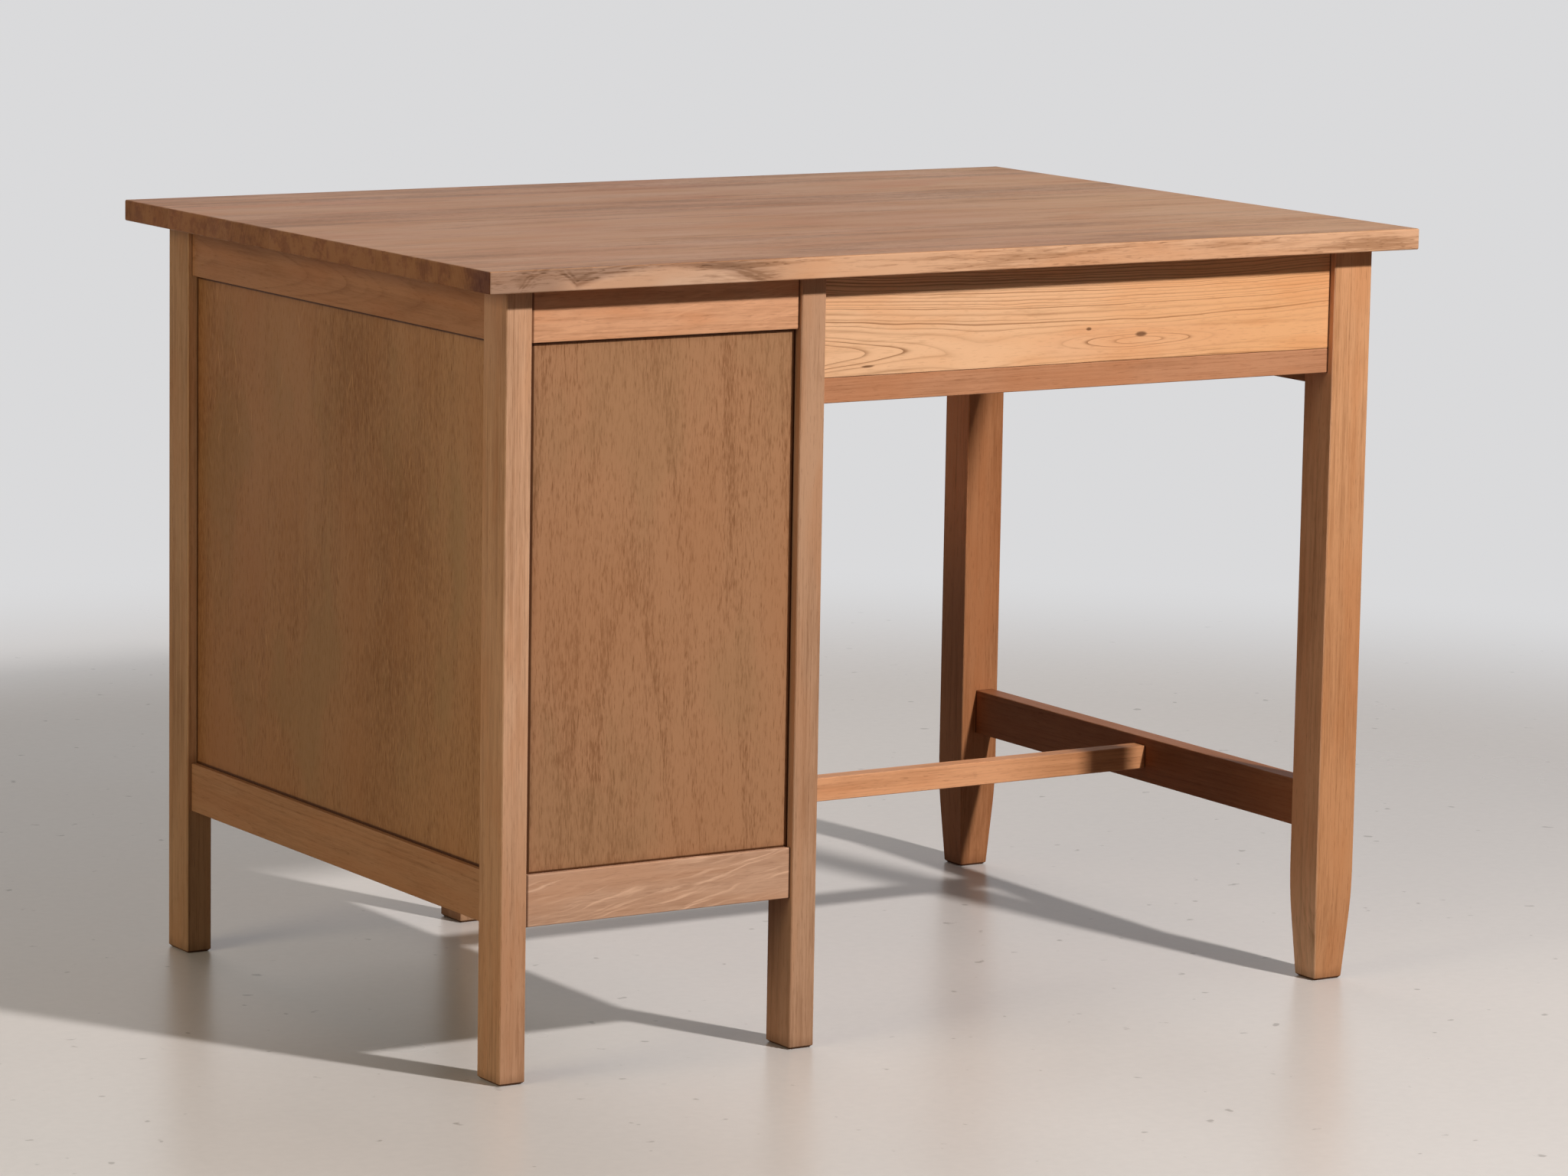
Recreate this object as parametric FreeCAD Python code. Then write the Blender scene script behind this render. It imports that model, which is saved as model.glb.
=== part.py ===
import FreeCAD, Part
import math
import os

# A single-pedestal writing desk in solid oak with plywood panels.
# Millimetres. The origin is on the floor under the middle of the top.
# +X points to the pedestal end, +Y to the back of the desk, away from the
# sitter, and +Z up.

# Overall sizes
desk_height = 750.0
top_length = 1037.0
top_width = 738.0
top_thickness = 20.5
end_overhang = 34.0
side_overhang = 30.0
top_edge_round = 1.6
top_board_shares = (0.13, 0.15, 0.14, 0.16, 0.13, 0.16, 0.13)

# Upright timbers
pedestal_width = 338.0
stile_thickness = 26.5
stile_width = 42.0
leg_side = 44.5
taper_height = 88.0
taper_inset = 6.0
taper_blend = 26.0
blend_steps = 4
arris = 0.9
foot_arris = 2.4

# Rails of the frames
rail_setback = 4.0
rail_thickness = 18.0
bottom_rail_low = 145.0
bottom_rail_height = 48.0
top_rail_height = 49.5
rail_arris = 0.6

# Plywood panels, loose in their grooves
panel_setback = 10.0
panel_thickness = 6.0
groove_depth = 8.0
groove_ease = 0.1
panel_edge_gap = 1.0

# Tenons and laps
tenon_thickness = 7.0
tenon_edge_margin = 2.0
tenon_ease = 0.05
mortise_end_gap = 1.0
stile_web = 2.5
lap_thickness = 8.0
lap_neck = 16.0
lap_spread = 3.0

# Kneehole
knee_board_setback = 7.5
knee_board_thickness = 18.0
knee_board_height = 97.5
knee_rail_height = 23.5
knee_rail_depth = 30.0
apron_setback = 6.5
apron_thickness = 21.0
apron_height = 137.5
end_stretcher_low = 147.0
end_stretcher_height = 46.5
middle_stretcher_low = 161.5
middle_stretcher_height = 23.5
middle_stretcher_thickness = 19.0
middle_stretcher_offset = 10.5
middle_stretcher_tenon = 12.0
middle_tenon_edge = 5.0

# Drawer fronts and the rails between them
front_rail_depth = 36.0
front_top_rail_thickness = 16.0
divider_thickness = 18.0
lower_drawer_shares = (0.38, 0.33, 0.29)
front_setback = 1.0
front_thickness = 20.0
front_arris = 1.0

# Drawer boxes
drawer_side_gap = 1.0
drawer_head_gap = 1.5
drawer_foot_gap = 1.0
drawer_run_gap = 0.3
drawer_back_space = 30.0
side_thickness = 12.0
side_drop = 2.5
back_drop = 3.0
bottom_thickness = 5.0
bottom_lift = 7.0
bottom_tongue = 5.0
bottom_end_gap = 0.5
front_tail_length = 14.0
tail_pitch = 31.0
tail_neck_share = 0.5
tail_slope_share = 1.0 / 6.0

# Turned knobs
knob_radius = 15.5
knob_projection = 24.0
knob_dome_radius = 23.0
knob_shoulder_radius = 13.4
knob_rim_place = 16.0
knob_under_radius = 12.8
knob_under_place = 12.2
knob_neck_radius = 6.8
knob_neck_place = 6.4
knob_collar_radius = 9.0
knob_collar_height = 1.8
knob_spigot_radius = 5.5
knob_spigot_length = 14.0
knob_end_gap = 1.5
knob_fit = 0.05
wide_knob_share = 0.27

# Running gear and fixings
runner_width = 14.0
runner_thickness = 14.0
runner_tongue_thickness = 6.0
runner_tongue_length = 7.0
guide_rise = 16.0
stop_length = 14.0
stop_height = 10.0
stop_gap = 0.3
button_length = 34.0
button_depth = 28.0
button_tongue_thickness = 6.0
button_tongue_length = 6.0
screw_radius = 2.0
screw_length = 27.0
screw_head_radius = 4.0
screw_head_height = 2.6
screw_fit = 0.05
kicker_screw_shares = (0.2, 0.8)
pedestal_front_screw_shares = (0.5,)
knee_front_screw_shares = (0.25, 0.75)
pedestal_button_shares = (0.5,)
knee_button_shares = (0.18, 0.5, 0.82)

overrun = 2.0
parallel_share = 0.999

# Main planes
outer_x = top_length / 2 - end_overhang
inner_x = outer_x - pedestal_width
right_x = -outer_x
back_y = top_width / 2 - side_overhang
front_y = -back_y
under_top = desk_height - top_thickness

outer_stile_x = (outer_x - stile_thickness, outer_x)
inner_stile_x = (inner_x, inner_x + stile_thickness)
leg_x = (right_x, right_x + leg_side)
back_stile_y = (back_y - stile_width, back_y)
front_stile_y = (front_y, front_y + stile_width)
back_leg_y = (back_y - leg_side, back_y)
front_leg_y = (front_y, front_y + leg_side)

bottom_rail_z = (bottom_rail_low, bottom_rail_low + bottom_rail_height)
top_rail_z = (under_top - top_rail_height, under_top)
knee_board_z = (under_top - knee_board_height, under_top)
knee_rail_z = (knee_board_z[0] - knee_rail_height, knee_board_z[0])
front_top_rail_z = (under_top - front_top_rail_thickness, under_top)
apron_z = (under_top - apron_height, under_top)
end_stretcher_z = (end_stretcher_low, end_stretcher_low + end_stretcher_height)
middle_stretcher_z = (middle_stretcher_low, middle_stretcher_low + middle_stretcher_height)

# Tenons stand in the plane of the panels. Their lengths are what the timber
# that they enter leaves beside the tenon that comes from the next side.
tenon_plane = panel_setback + panel_thickness / 2
tenon_far_face = tenon_plane + tenon_thickness / 2
tenon_near_face = tenon_plane - tenon_thickness / 2
tenon_edge = groove_depth + tenon_edge_margin
cross_tenon = (stile_thickness - stile_web) / 2 - mortise_end_gap
stile_tenon = stile_width - tenon_far_face - stile_web - mortise_end_gap
apron_plane = apron_setback + apron_thickness / 2
leg_end_tenon = leg_side - tenon_far_face - stile_web - mortise_end_gap
leg_cross_tenon = leg_side - apron_plane - tenon_thickness / 2 - stile_web - mortise_end_gap
flat_tenon_far = stile_width - groove_depth - stile_web

clear_x = (inner_stile_x[1], outer_stile_x[0])
clear_y = (front_stile_y[1], back_stile_y[0])
knee_x = (leg_x[1], inner_x)
leg_clear_y = (front_leg_y[1], back_leg_y[0])


# Small tools for squared timber: a space is three pairs of low and high limits

def solid(space):
    """A squared piece of timber that fills a space."""
    low = FreeCAD.Vector(*[pair[0] for pair in space])
    sizes = [pair[1] - pair[0] for pair in space]
    return Part.makeBox(*sizes, low)


def swell(space, grow):
    """The space grown on both sides by an amount for each direction."""
    return tuple((pair[0] - more, pair[1] + more) for pair, more in zip(space, grow))


def pair_from(start, step):
    """The low and high limits of a step from a start, in either direction."""
    return (min(start, start + step), max(start, start + step))


def set_in(face, inward, near, thickness):
    """The limits of a layer that lies some way behind a face."""
    return pair_from(face + inward * near, inward * thickness)


def middle(pair):
    return (pair[0] + pair[1]) / 2


def between(pair, share):
    """The place at a share of the way between two limits."""
    return pair[0] + (pair[1] - pair[0]) * share


def join(shapes):
    whole = shapes[0]
    for shape in shapes[1:]:
        whole = whole.fuse(shape)
    return whole.removeSplitter()


def cut_all(shape, cutters):
    for cutter in cutters:
        if shape.BoundBox.intersect(cutter.BoundBox):
            shape = shape.cut(cutter)
    return shape


def long_edges(shape, axis):
    """The straight edges that run along one direction."""
    found = []
    for edge in shape.Edges:
        run = edge.Vertexes[-1].Point - edge.Vertexes[0].Point
        if abs(run.dot(axis)) > parallel_share * run.Length:
            found.append(edge)
    return found


def eased(space, axis, size):
    """Squared timber with the corners along its length eased by a small flat."""
    blank = solid(space)
    return blank.makeChamfer(size, long_edges(blank, axis))


along_x = FreeCAD.Vector(1, 0, 0)
along_y = FreeCAD.Vector(0, 1, 0)
along_z = FreeCAD.Vector(0, 0, 1)


# Joints: each tenon is a space, and its mortise is the same space eased

def tenon_x(shoulder, direction, length, y_pair, z_pair):
    return (pair_from(shoulder, direction * length), y_pair, z_pair)


def tenon_y(shoulder, direction, length, x_pair, z_pair):
    return (x_pair, pair_from(shoulder, direction * length), z_pair)


def mortise_x(space):
    return solid(swell(space, (mortise_end_gap, tenon_ease, tenon_ease)))


def mortise_y(space):
    return solid(swell(space, (tenon_ease, mortise_end_gap, tenon_ease)))


def tenon_height(z_pair):
    return (z_pair[0] + tenon_edge, z_pair[1] - tenon_edge)


def tenon_layer(face, inward):
    """The thickness of a frame's tenon, behind the frame's outer face."""
    return set_in(face, inward, tenon_near_face, tenon_thickness)


def flat_layer(z_pair):
    """The thickness of a tenon on a rail that lies flat."""
    return set_in(middle(z_pair) - tenon_thickness / 2, 1, 0, tenon_thickness)


def flat_tenon_width(face, inward):
    return set_in(face, inward, tenon_near_face, flat_tenon_far - tenon_near_face)


def lap(shoulder, direction, length, face, inward, ease):
    """A dovetailed lap on the end of a top rail, let into the head of an upright."""
    centre = middle(flat_tenon_width(face, inward))
    half_neck = lap_neck / 2 + ease
    half_end = half_neck + lap_spread
    end = shoulder + direction * (length + ease)
    corners = ((shoulder, centre - half_neck), (end, centre - half_end),
               (end, centre + half_end), (shoulder, centre + half_neck))
    low = under_top - lap_thickness - ease
    points = [FreeCAD.Vector(x, y, low) for x, y in corners]
    outline = Part.makePolygon(points + points[:1])
    return Part.Face(outline).extrude(along_z * (under_top + ease - low))


# Side frames of the pedestal, one on its outer side and one by the kneehole

side_faces = {"outer": (outer_x, -1), "inner": (inner_x, 1)}


def side_tenons(side, z_pair):
    face, inward = side_faces[side]
    layer = tenon_layer(face, inward)
    height = tenon_height(z_pair)
    return [tenon_y(clear_y[0], -1, stile_tenon, layer, height),
            tenon_y(clear_y[1], 1, stile_tenon, layer, height)]


def side_panel_space(side):
    face, inward = side_faces[side]
    reach = groove_depth - panel_edge_gap
    return (set_in(face, inward, panel_setback, panel_thickness),
            (clear_y[0] - reach, clear_y[1] + reach),
            (bottom_rail_z[1] - reach, top_rail_z[0] + reach))


def side_groove(side):
    return solid(swell(side_panel_space(side), (groove_ease, panel_edge_gap, panel_edge_gap)))


def side_rail(side, z_pair):
    face, inward = side_faces[side]
    layer = set_in(face, inward, rail_setback, rail_thickness)
    body = eased((layer, clear_y, z_pair), along_y, rail_arris)
    tenons = [solid(space) for space in side_tenons(side, z_pair)]
    return cut_all(join([body] + tenons), [side_groove(side)])


def side_bottom_rail(side):
    rail = side_rail(side, bottom_rail_z)
    if side == "inner":
        rail = rail.cut(mortise_x(middle_stretcher_tenons()[0]))
    return rail


# Back frame of the pedestal

def back_tenons(z_pair):
    layer = tenon_layer(back_y, -1)
    height = tenon_height(z_pair)
    return [tenon_x(clear_x[0], -1, cross_tenon, layer, height),
            tenon_x(clear_x[1], 1, cross_tenon, layer, height)]


def back_panel_space():
    reach = groove_depth - panel_edge_gap
    return ((clear_x[0] - reach, clear_x[1] + reach),
            set_in(back_y, -1, panel_setback, panel_thickness),
            (bottom_rail_z[1] - reach, top_rail_z[0] + reach))


def back_groove():
    return solid(swell(back_panel_space(), (panel_edge_gap, groove_ease, panel_edge_gap)))


def back_rail(z_pair):
    layer = set_in(back_y, -1, rail_setback, rail_thickness)
    body = eased((clear_x, layer, z_pair), along_x, rail_arris)
    tenons = [solid(space) for space in back_tenons(z_pair)]
    return cut_all(join([body] + tenons), [back_groove()])


def back_top_rail():
    inside = back_y - rail_setback - rail_thickness
    return back_rail(top_rail_z).cut(button_groove(clear_x, inside))


# Front of the pedestal: a top rail, three dividers and a bottom rail

lower_height = knee_rail_z[0] - bottom_rail_z[1] - divider_thickness * (len(lower_drawer_shares) - 1)


def stack_levels():
    """The foot and head of each drawer opening, from the top one down."""
    levels = []
    foot = bottom_rail_z[1]
    for share in lower_drawer_shares:
        head = foot + lower_height * share
        levels.append((foot, head))
        foot = head + divider_thickness
    levels.append((knee_rail_z[1], front_top_rail_z[0]))
    return levels[::-1]


def divider_levels():
    """The low and high faces of each divider, from the top one down."""
    levels = stack_levels()
    return [(below[1], above[0]) for above, below in zip(levels, levels[1:])]


def flat_rail_tenons(z_pair):
    width = flat_tenon_width(front_y, 1)
    return [tenon_x(clear_x[0], -1, cross_tenon, width, flat_layer(z_pair)),
            tenon_x(clear_x[1], 1, cross_tenon, width, flat_layer(z_pair))]


def runner_groove(x_pair, rail_face, inward, runner_top):
    """The slot along a rail's inner face that takes the tongues of two runners."""
    z_middle = runner_top - runner_thickness / 2
    height = set_in(z_middle - runner_tongue_thickness / 2, 1, 0, runner_tongue_thickness)
    depth = pair_from(rail_face + inward * overrun, -inward * (overrun + runner_tongue_length))
    space = (x_pair, depth, height)
    return solid(swell(space, (overrun, mortise_end_gap, tenon_ease)))


def divider(number):
    z_pair = divider_levels()[number]
    layer = set_in(front_y, 1, rail_setback, front_rail_depth)
    body = eased((clear_x, layer, z_pair), along_x, rail_arris)
    tenons = [solid(space) for space in flat_rail_tenons(z_pair)]
    body = body.cut(runner_groove(clear_x, layer[1], 1, z_pair[1]))
    return join([body] + tenons)


def front_bottom_tenons():
    layer = tenon_layer(front_y, 1)
    height = tenon_height(bottom_rail_z)
    return [tenon_x(clear_x[0], -1, cross_tenon, layer, height),
            tenon_x(clear_x[1], 1, cross_tenon, layer, height)]


def pedestal_front_bottom_rail():
    layer = set_in(front_y, 1, rail_setback, rail_thickness)
    body = eased((clear_x, layer, bottom_rail_z), along_x, rail_arris)
    body = body.cut(runner_groove(clear_x, layer[1], 1, bottom_rail_z[1]))
    return join([body] + [solid(space) for space in front_bottom_tenons()])


def pedestal_laps(ease):
    return [lap(clear_x[0], -1, cross_tenon, front_y, 1, ease),
            lap(clear_x[1], 1, cross_tenon, front_y, 1, ease)]


def pedestal_front_top_rail():
    layer = set_in(front_y, 1, rail_setback, front_rail_depth)
    body = eased((clear_x, layer, front_top_rail_z), along_x, rail_arris)
    return cut_all(join([body] + pedestal_laps(0)), screws(screw_fit))


# Kneehole rails, the board at its back and the apron on its right end

def knee_tenons(y_pair, z_pair):
    return [tenon_x(knee_x[0], -1, leg_cross_tenon, y_pair, z_pair),
            tenon_x(knee_x[1], 1, cross_tenon, y_pair, z_pair)]


def knee_board_tenons():
    return knee_tenons(tenon_layer(back_y, -1), tenon_height(knee_board_z))


def knee_back_rail_tenons():
    return knee_tenons(flat_tenon_width(back_y, -1), flat_layer(knee_rail_z))


def knee_front_rail_tenons():
    return knee_tenons(flat_tenon_width(front_y, 1), flat_layer(knee_rail_z))


def knee_back_board():
    layer = set_in(back_y, -1, knee_board_setback, knee_board_thickness)
    body = eased((knee_x, layer, knee_board_z), along_x, rail_arris)
    body = body.cut(button_groove(knee_x, layer[0]))
    return join([body] + [solid(space) for space in knee_board_tenons()])


def knee_back_rail():
    layer = set_in(back_y, -1, knee_board_setback, knee_rail_depth)
    body = eased((knee_x, layer, knee_rail_z), along_x, rail_arris)
    body = body.cut(runner_groove(knee_x, layer[0], -1, knee_rail_z[1]))
    return join([body] + [solid(space) for space in knee_back_rail_tenons()])


def knee_front_bottom_rail():
    layer = set_in(front_y, 1, rail_setback, front_rail_depth)
    body = eased((knee_x, layer, knee_rail_z), along_x, rail_arris)
    body = body.cut(runner_groove(knee_x, layer[1], 1, knee_rail_z[1]))
    return join([body] + [solid(space) for space in knee_front_rail_tenons()])


def knee_laps(ease):
    return [lap(knee_x[0], -1, leg_cross_tenon, front_y, 1, ease),
            lap(knee_x[1], 1, cross_tenon, front_y, 1, ease)]


def knee_front_top_rail():
    layer = set_in(front_y, 1, rail_setback, front_rail_depth)
    body = eased((knee_x, layer, front_top_rail_z), along_x, rail_arris)
    return cut_all(join([body] + knee_laps(0)), screws(screw_fit))


def end_tenons(z_pair):
    layer = set_in(right_x, 1, apron_plane - tenon_thickness / 2, tenon_thickness)
    height = tenon_height(z_pair)
    return [tenon_y(leg_clear_y[0], -1, leg_end_tenon, layer, height),
            tenon_y(leg_clear_y[1], 1, leg_end_tenon, layer, height)]


def end_timber(z_pair):
    """A timber between the two tapered legs, set in from their outer faces."""
    layer = set_in(right_x, 1, apron_setback, apron_thickness)
    body = eased((layer, leg_clear_y, z_pair), along_y, rail_arris)
    return join([body] + [solid(space) for space in end_tenons(z_pair)])


def middle_stretcher_tenons():
    y_pair = set_in(middle_stretcher_offset - tenon_thickness / 2, 1, 0, tenon_thickness)
    z_pair = (middle_stretcher_z[0] + middle_tenon_edge, middle_stretcher_z[1] - middle_tenon_edge)
    ends = middle_stretcher_ends()
    return [tenon_x(ends[1], 1, middle_stretcher_tenon, y_pair, z_pair),
            tenon_x(ends[0], -1, middle_stretcher_tenon, y_pair, z_pair)]


def middle_stretcher_ends():
    return (right_x + apron_setback + apron_thickness, inner_x + rail_setback)


def middle_stretcher():
    y_pair = set_in(middle_stretcher_offset - middle_stretcher_thickness / 2, 1, 0,
                    middle_stretcher_thickness)
    body = eased((middle_stretcher_ends(), y_pair, middle_stretcher_z), along_x, rail_arris)
    return join([body] + [solid(space) for space in middle_stretcher_tenons()])


def end_stretcher():
    return end_timber(end_stretcher_z).cut(mortise_x(middle_stretcher_tenons()[1]))


# Uprights

def cross_mortises():
    """Every mortise that runs along the length of the desk."""
    spaces = back_tenons(bottom_rail_z) + back_tenons(top_rail_z) + front_bottom_tenons()
    spaces += knee_board_tenons() + knee_back_rail_tenons() + knee_front_rail_tenons()
    for z_pair in divider_levels():
        spaces += flat_rail_tenons(z_pair)
    return [mortise_x(space) for space in spaces]


def end_mortises():
    """Every mortise that runs from the front of the desk to its back."""
    spaces = end_tenons(apron_z) + end_tenons(end_stretcher_z)
    for side in side_faces:
        spaces += side_tenons(side, bottom_rail_z) + side_tenons(side, top_rail_z)
    return [mortise_y(space) for space in spaces]


def upright_cutters():
    grooves = [side_groove(side) for side in side_faces] + [back_groove()]
    laps = pedestal_laps(tenon_ease) + knee_laps(tenon_ease)
    return cross_mortises() + end_mortises() + grooves + laps


def corner_cut_outline(x_pair, y_pair, inset, height, cut):
    """An upright's section at one height: a rectangle with eased corners."""
    x_low, x_high = x_pair[0] + inset, x_pair[1] - inset
    y_low, y_high = y_pair[0] + inset, y_pair[1] - inset
    corners = ((x_low + cut, y_low), (x_high - cut, y_low), (x_high, y_low + cut),
               (x_high, y_high - cut), (x_high - cut, y_high), (x_low + cut, y_high),
               (x_low, y_high - cut), (x_low, y_low + cut))
    points = [FreeCAD.Vector(x, y, height) for x, y in corners]
    return Part.makePolygon(points + points[:1])


def upright(x_pair, y_pair, insets):
    """An upright through sections at given heights and insets, then its joints."""
    outlines = [corner_cut_outline(x_pair, y_pair, inset, height, arris) for height, inset in insets]
    return cut_all(Part.makeLoft(outlines, True, True), upright_cutters())


def stile(x_pair, y_pair):
    insets = [(0, foot_arris), (foot_arris, 0), (under_top, 0)]
    return upright(x_pair, y_pair, insets)


def taper_inset_at(height):
    """The taper's straight line, softened where it leaves the square shaft."""
    slope = taper_inset / taper_height
    from_break = taper_height - height
    if from_break > taper_blend:
        return slope * from_break
    return slope * (from_break + taper_blend) ** 2 / (4 * taper_blend)


def tapered_leg(y_pair):
    heights = [foot_arris]
    for step in range(2 * blend_steps + 1):
        heights.append(taper_height - taper_blend + taper_blend * step / blend_steps)
    insets = [(0, taper_inset_at(0) + foot_arris)]
    insets += [(height, taper_inset_at(height)) for height in heights]
    insets.append((under_top, 0))
    return upright(leg_x, y_pair, insets)


# Drawers: each opening has its limits along X, its foot, its head and its knobs

def drawer_openings():
    openings = {}
    for number, level in enumerate(stack_levels()):
        openings["drawer_%d" % (number + 1)] = (clear_x, level, (0.5,))
    shares = (wide_knob_share, 1 - wide_knob_share)
    openings["knee_drawer"] = (knee_x, (knee_rail_z[1], front_top_rail_z[0]), shares)
    return openings


drawer_face = front_y + rail_setback + front_setback
front_back = drawer_face + front_thickness
drawer_end = back_y - knee_board_setback - knee_board_thickness - drawer_back_space


def box_x(opening):
    return (opening[0][0] + drawer_side_gap, opening[0][1] - drawer_side_gap)


def front_z(opening):
    return (opening[1][0] + drawer_foot_gap, opening[1][1] - drawer_head_gap)


def side_z(opening):
    return (opening[1][0] + drawer_run_gap, opening[1][1] - drawer_head_gap - side_drop)


def bottom_z(opening):
    return set_in(side_z(opening)[0], 1, bottom_lift, bottom_thickness)


def back_z(opening):
    return (bottom_z(opening)[1], side_z(opening)[1] - back_drop)


def tails(x_pair, z_pair, root, direction, length, ease):
    """A row of dovetails on the end of a drawer side, wider at their ends."""
    height = z_pair[1] - z_pair[0]
    count = max(2, round(height / tail_pitch))
    pitch = height / count
    end = root + direction * (length + ease)
    row = []
    for number in range(count):
        centre = z_pair[0] + pitch * (number + 1 / 2)
        half_neck = pitch * tail_neck_share / 2 + ease
        half_end = half_neck + length * tail_slope_share
        corners = ((root, centre - half_neck), (end, centre - half_end),
                   (end, centre + half_end), (root, centre + half_neck))
        points = [FreeCAD.Vector(x_pair[0], y, z) for y, z in corners]
        outline = Part.makePolygon(points + points[:1])
        row.append(Part.Face(outline).extrude(along_x * (x_pair[1] - x_pair[0])))
    return row


def front_joint_z(opening):
    """The height that the drawer's front and sides share."""
    return (max(front_z(opening)[0], side_z(opening)[0]), side_z(opening)[1])


def side_x_pairs(opening):
    x_pair = box_x(opening)
    return [(x_pair[0], x_pair[0] + side_thickness), (x_pair[1] - side_thickness, x_pair[1])]


def side_tails(opening, x_pair, ease):
    rear_root = drawer_end - side_thickness
    front_row = tails(x_pair, front_joint_z(opening), front_back, -1, front_tail_length, ease)
    rear_row = tails(x_pair, back_z(opening), rear_root, 1, side_thickness, ease)
    return front_row, rear_row


def drawer_bottom_space(opening):
    x_pair = box_x(opening)
    reach = side_thickness - bottom_tongue
    return ((x_pair[0] + reach, x_pair[1] - reach),
            (front_back - bottom_tongue, drawer_end), bottom_z(opening))


def drawer_bottom_groove(opening):
    return solid(swell(drawer_bottom_space(opening), (bottom_end_gap, bottom_end_gap, groove_ease)))


def drawer_front(opening, knob_shares):
    space = (box_x(opening), (drawer_face, front_back), front_z(opening))
    blank = solid(space)
    face_edges = []
    for edge in blank.Edges:
        if all(vertex.Point.y < middle(space[1]) for vertex in edge.Vertexes):
            face_edges.append(edge)
    board = blank.makeChamfer(front_arris, face_edges)
    sockets = []
    for x_pair in side_x_pairs(opening):
        room = (x_pair[0] - tenon_ease, x_pair[1] + tenon_ease)
        sockets += side_tails(opening, room, tenon_ease)[0]
    holes = [knob(opening, share, knob_fit) for share in knob_shares]
    return cut_all(board, sockets + [drawer_bottom_groove(opening)] + holes)


def groove_through(opening):
    """The bottom's groove, run out at both ends of a side."""
    space = drawer_bottom_space(opening)
    run = (front_back - front_tail_length - overrun, drawer_end + overrun)
    return solid(swell((space[0], run, space[2]), (bottom_end_gap, 0, groove_ease)))


def drawer_sides(opening):
    boards = []
    for x_pair in side_x_pairs(opening):
        body = solid((x_pair, (front_back, drawer_end - side_thickness), side_z(opening)))
        foot = (side_z(opening)[0], back_z(opening)[0])
        heel = solid((x_pair, (drawer_end - side_thickness, drawer_end), foot))
        front_row, rear_row = side_tails(opening, x_pair, 0)
        board = join([body, heel] + front_row + rear_row)
        boards.append(board.cut(groove_through(opening)))
    return Part.makeCompound(boards)


def drawer_back(opening):
    board = solid((box_x(opening), (drawer_end - side_thickness, drawer_end), back_z(opening)))
    sockets = []
    for x_pair in side_x_pairs(opening):
        room = (x_pair[0] - tenon_ease, x_pair[1] + tenon_ease)
        sockets += side_tails(opening, room, tenon_ease)[1]
    return cut_all(board, sockets)


def drawer_bottom(opening):
    return solid(drawer_bottom_space(opening))


def knob(opening, share, ease):
    """A knob turned in one piece with the spigot that holds it in the front."""
    def spot(out, radius):
        return FreeCAD.Vector(radius, -out, 0)

    spigot = knob_spigot_radius + ease
    end = knob_spigot_length + (knob_end_gap if ease else 0)
    corners = [spot(-end, 0), spot(-end, spigot), spot(0, spigot), spot(0, knob_collar_radius),
               spot(knob_collar_height, knob_collar_radius)]
    edges = [Part.makeLine(a, b) for a, b in zip(corners, corners[1:])]
    dome_centre = knob_projection - knob_dome_radius
    dome_angle = math.asin(knob_shoulder_radius / knob_dome_radius)

    def on_dome(angle):
        radius = knob_dome_radius * math.sin(angle)
        return spot(dome_centre + knob_dome_radius * math.cos(angle), radius)

    under = spot(knob_under_place, knob_under_radius)
    neck = spot(knob_neck_place, knob_neck_radius)
    edges.append(Part.Arc(corners[-1], neck, under).toShape())
    edges.append(Part.Arc(under, spot(knob_rim_place, knob_radius), on_dome(dome_angle)).toShape())
    edges.append(Part.Arc(on_dome(dome_angle), on_dome(dome_angle / 2), on_dome(0)).toShape())
    edges.append(Part.makeLine(on_dome(0), corners[0]))
    profile = Part.Face(Part.Wire(edges))
    turned = profile.revolve(FreeCAD.Vector(0, 0, 0), along_y, 360)
    turned.translate(FreeCAD.Vector(between(opening[0], share), drawer_face, middle(front_z(opening))))
    return turned


def drawer_knobs(opening, knob_shares):
    return Part.makeCompound([knob(opening, share, 0) for share in knob_shares])


# Runners, guides, stops and kickers

def running_sides():
    """For each drawer side: the running face, the wall behind it, the direction
    inwards, the runner's ends, the uprights' clear run and the runner's top."""
    behind = panel_setback + panel_thickness
    rear = back_y - rail_setback - rail_thickness
    divider_inside = front_y + rail_setback + front_rail_depth
    rail_inside = front_y + rail_setback + rail_thickness
    sides = []
    for foot, head in stack_levels():
        start = rail_inside if foot == bottom_rail_z[1] else divider_inside
        sides.append((clear_x[1], outer_x - behind, -1, (start, rear), clear_y, foot))
        sides.append((clear_x[0], inner_x + behind, 1, (start, rear), clear_y, foot))
    knee_rear = back_y - knee_board_setback - knee_rail_depth
    run = (divider_inside, knee_rear)
    apron_inside = right_x + apron_setback + apron_thickness
    sides.append((knee_x[1], inner_x + panel_setback, -1, run, clear_y, knee_rail_z[1]))
    sides.append((knee_x[0], apron_inside, 1, run, leg_clear_y, knee_rail_z[1]))
    return sides


def side_rail_blocks():
    blocks = []
    for side in side_faces:
        face, inward = side_faces[side]
        layer = set_in(face, inward, rail_setback, rail_thickness)
        blocks.append(solid((layer, clear_y, bottom_rail_z)))
    return blocks


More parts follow.
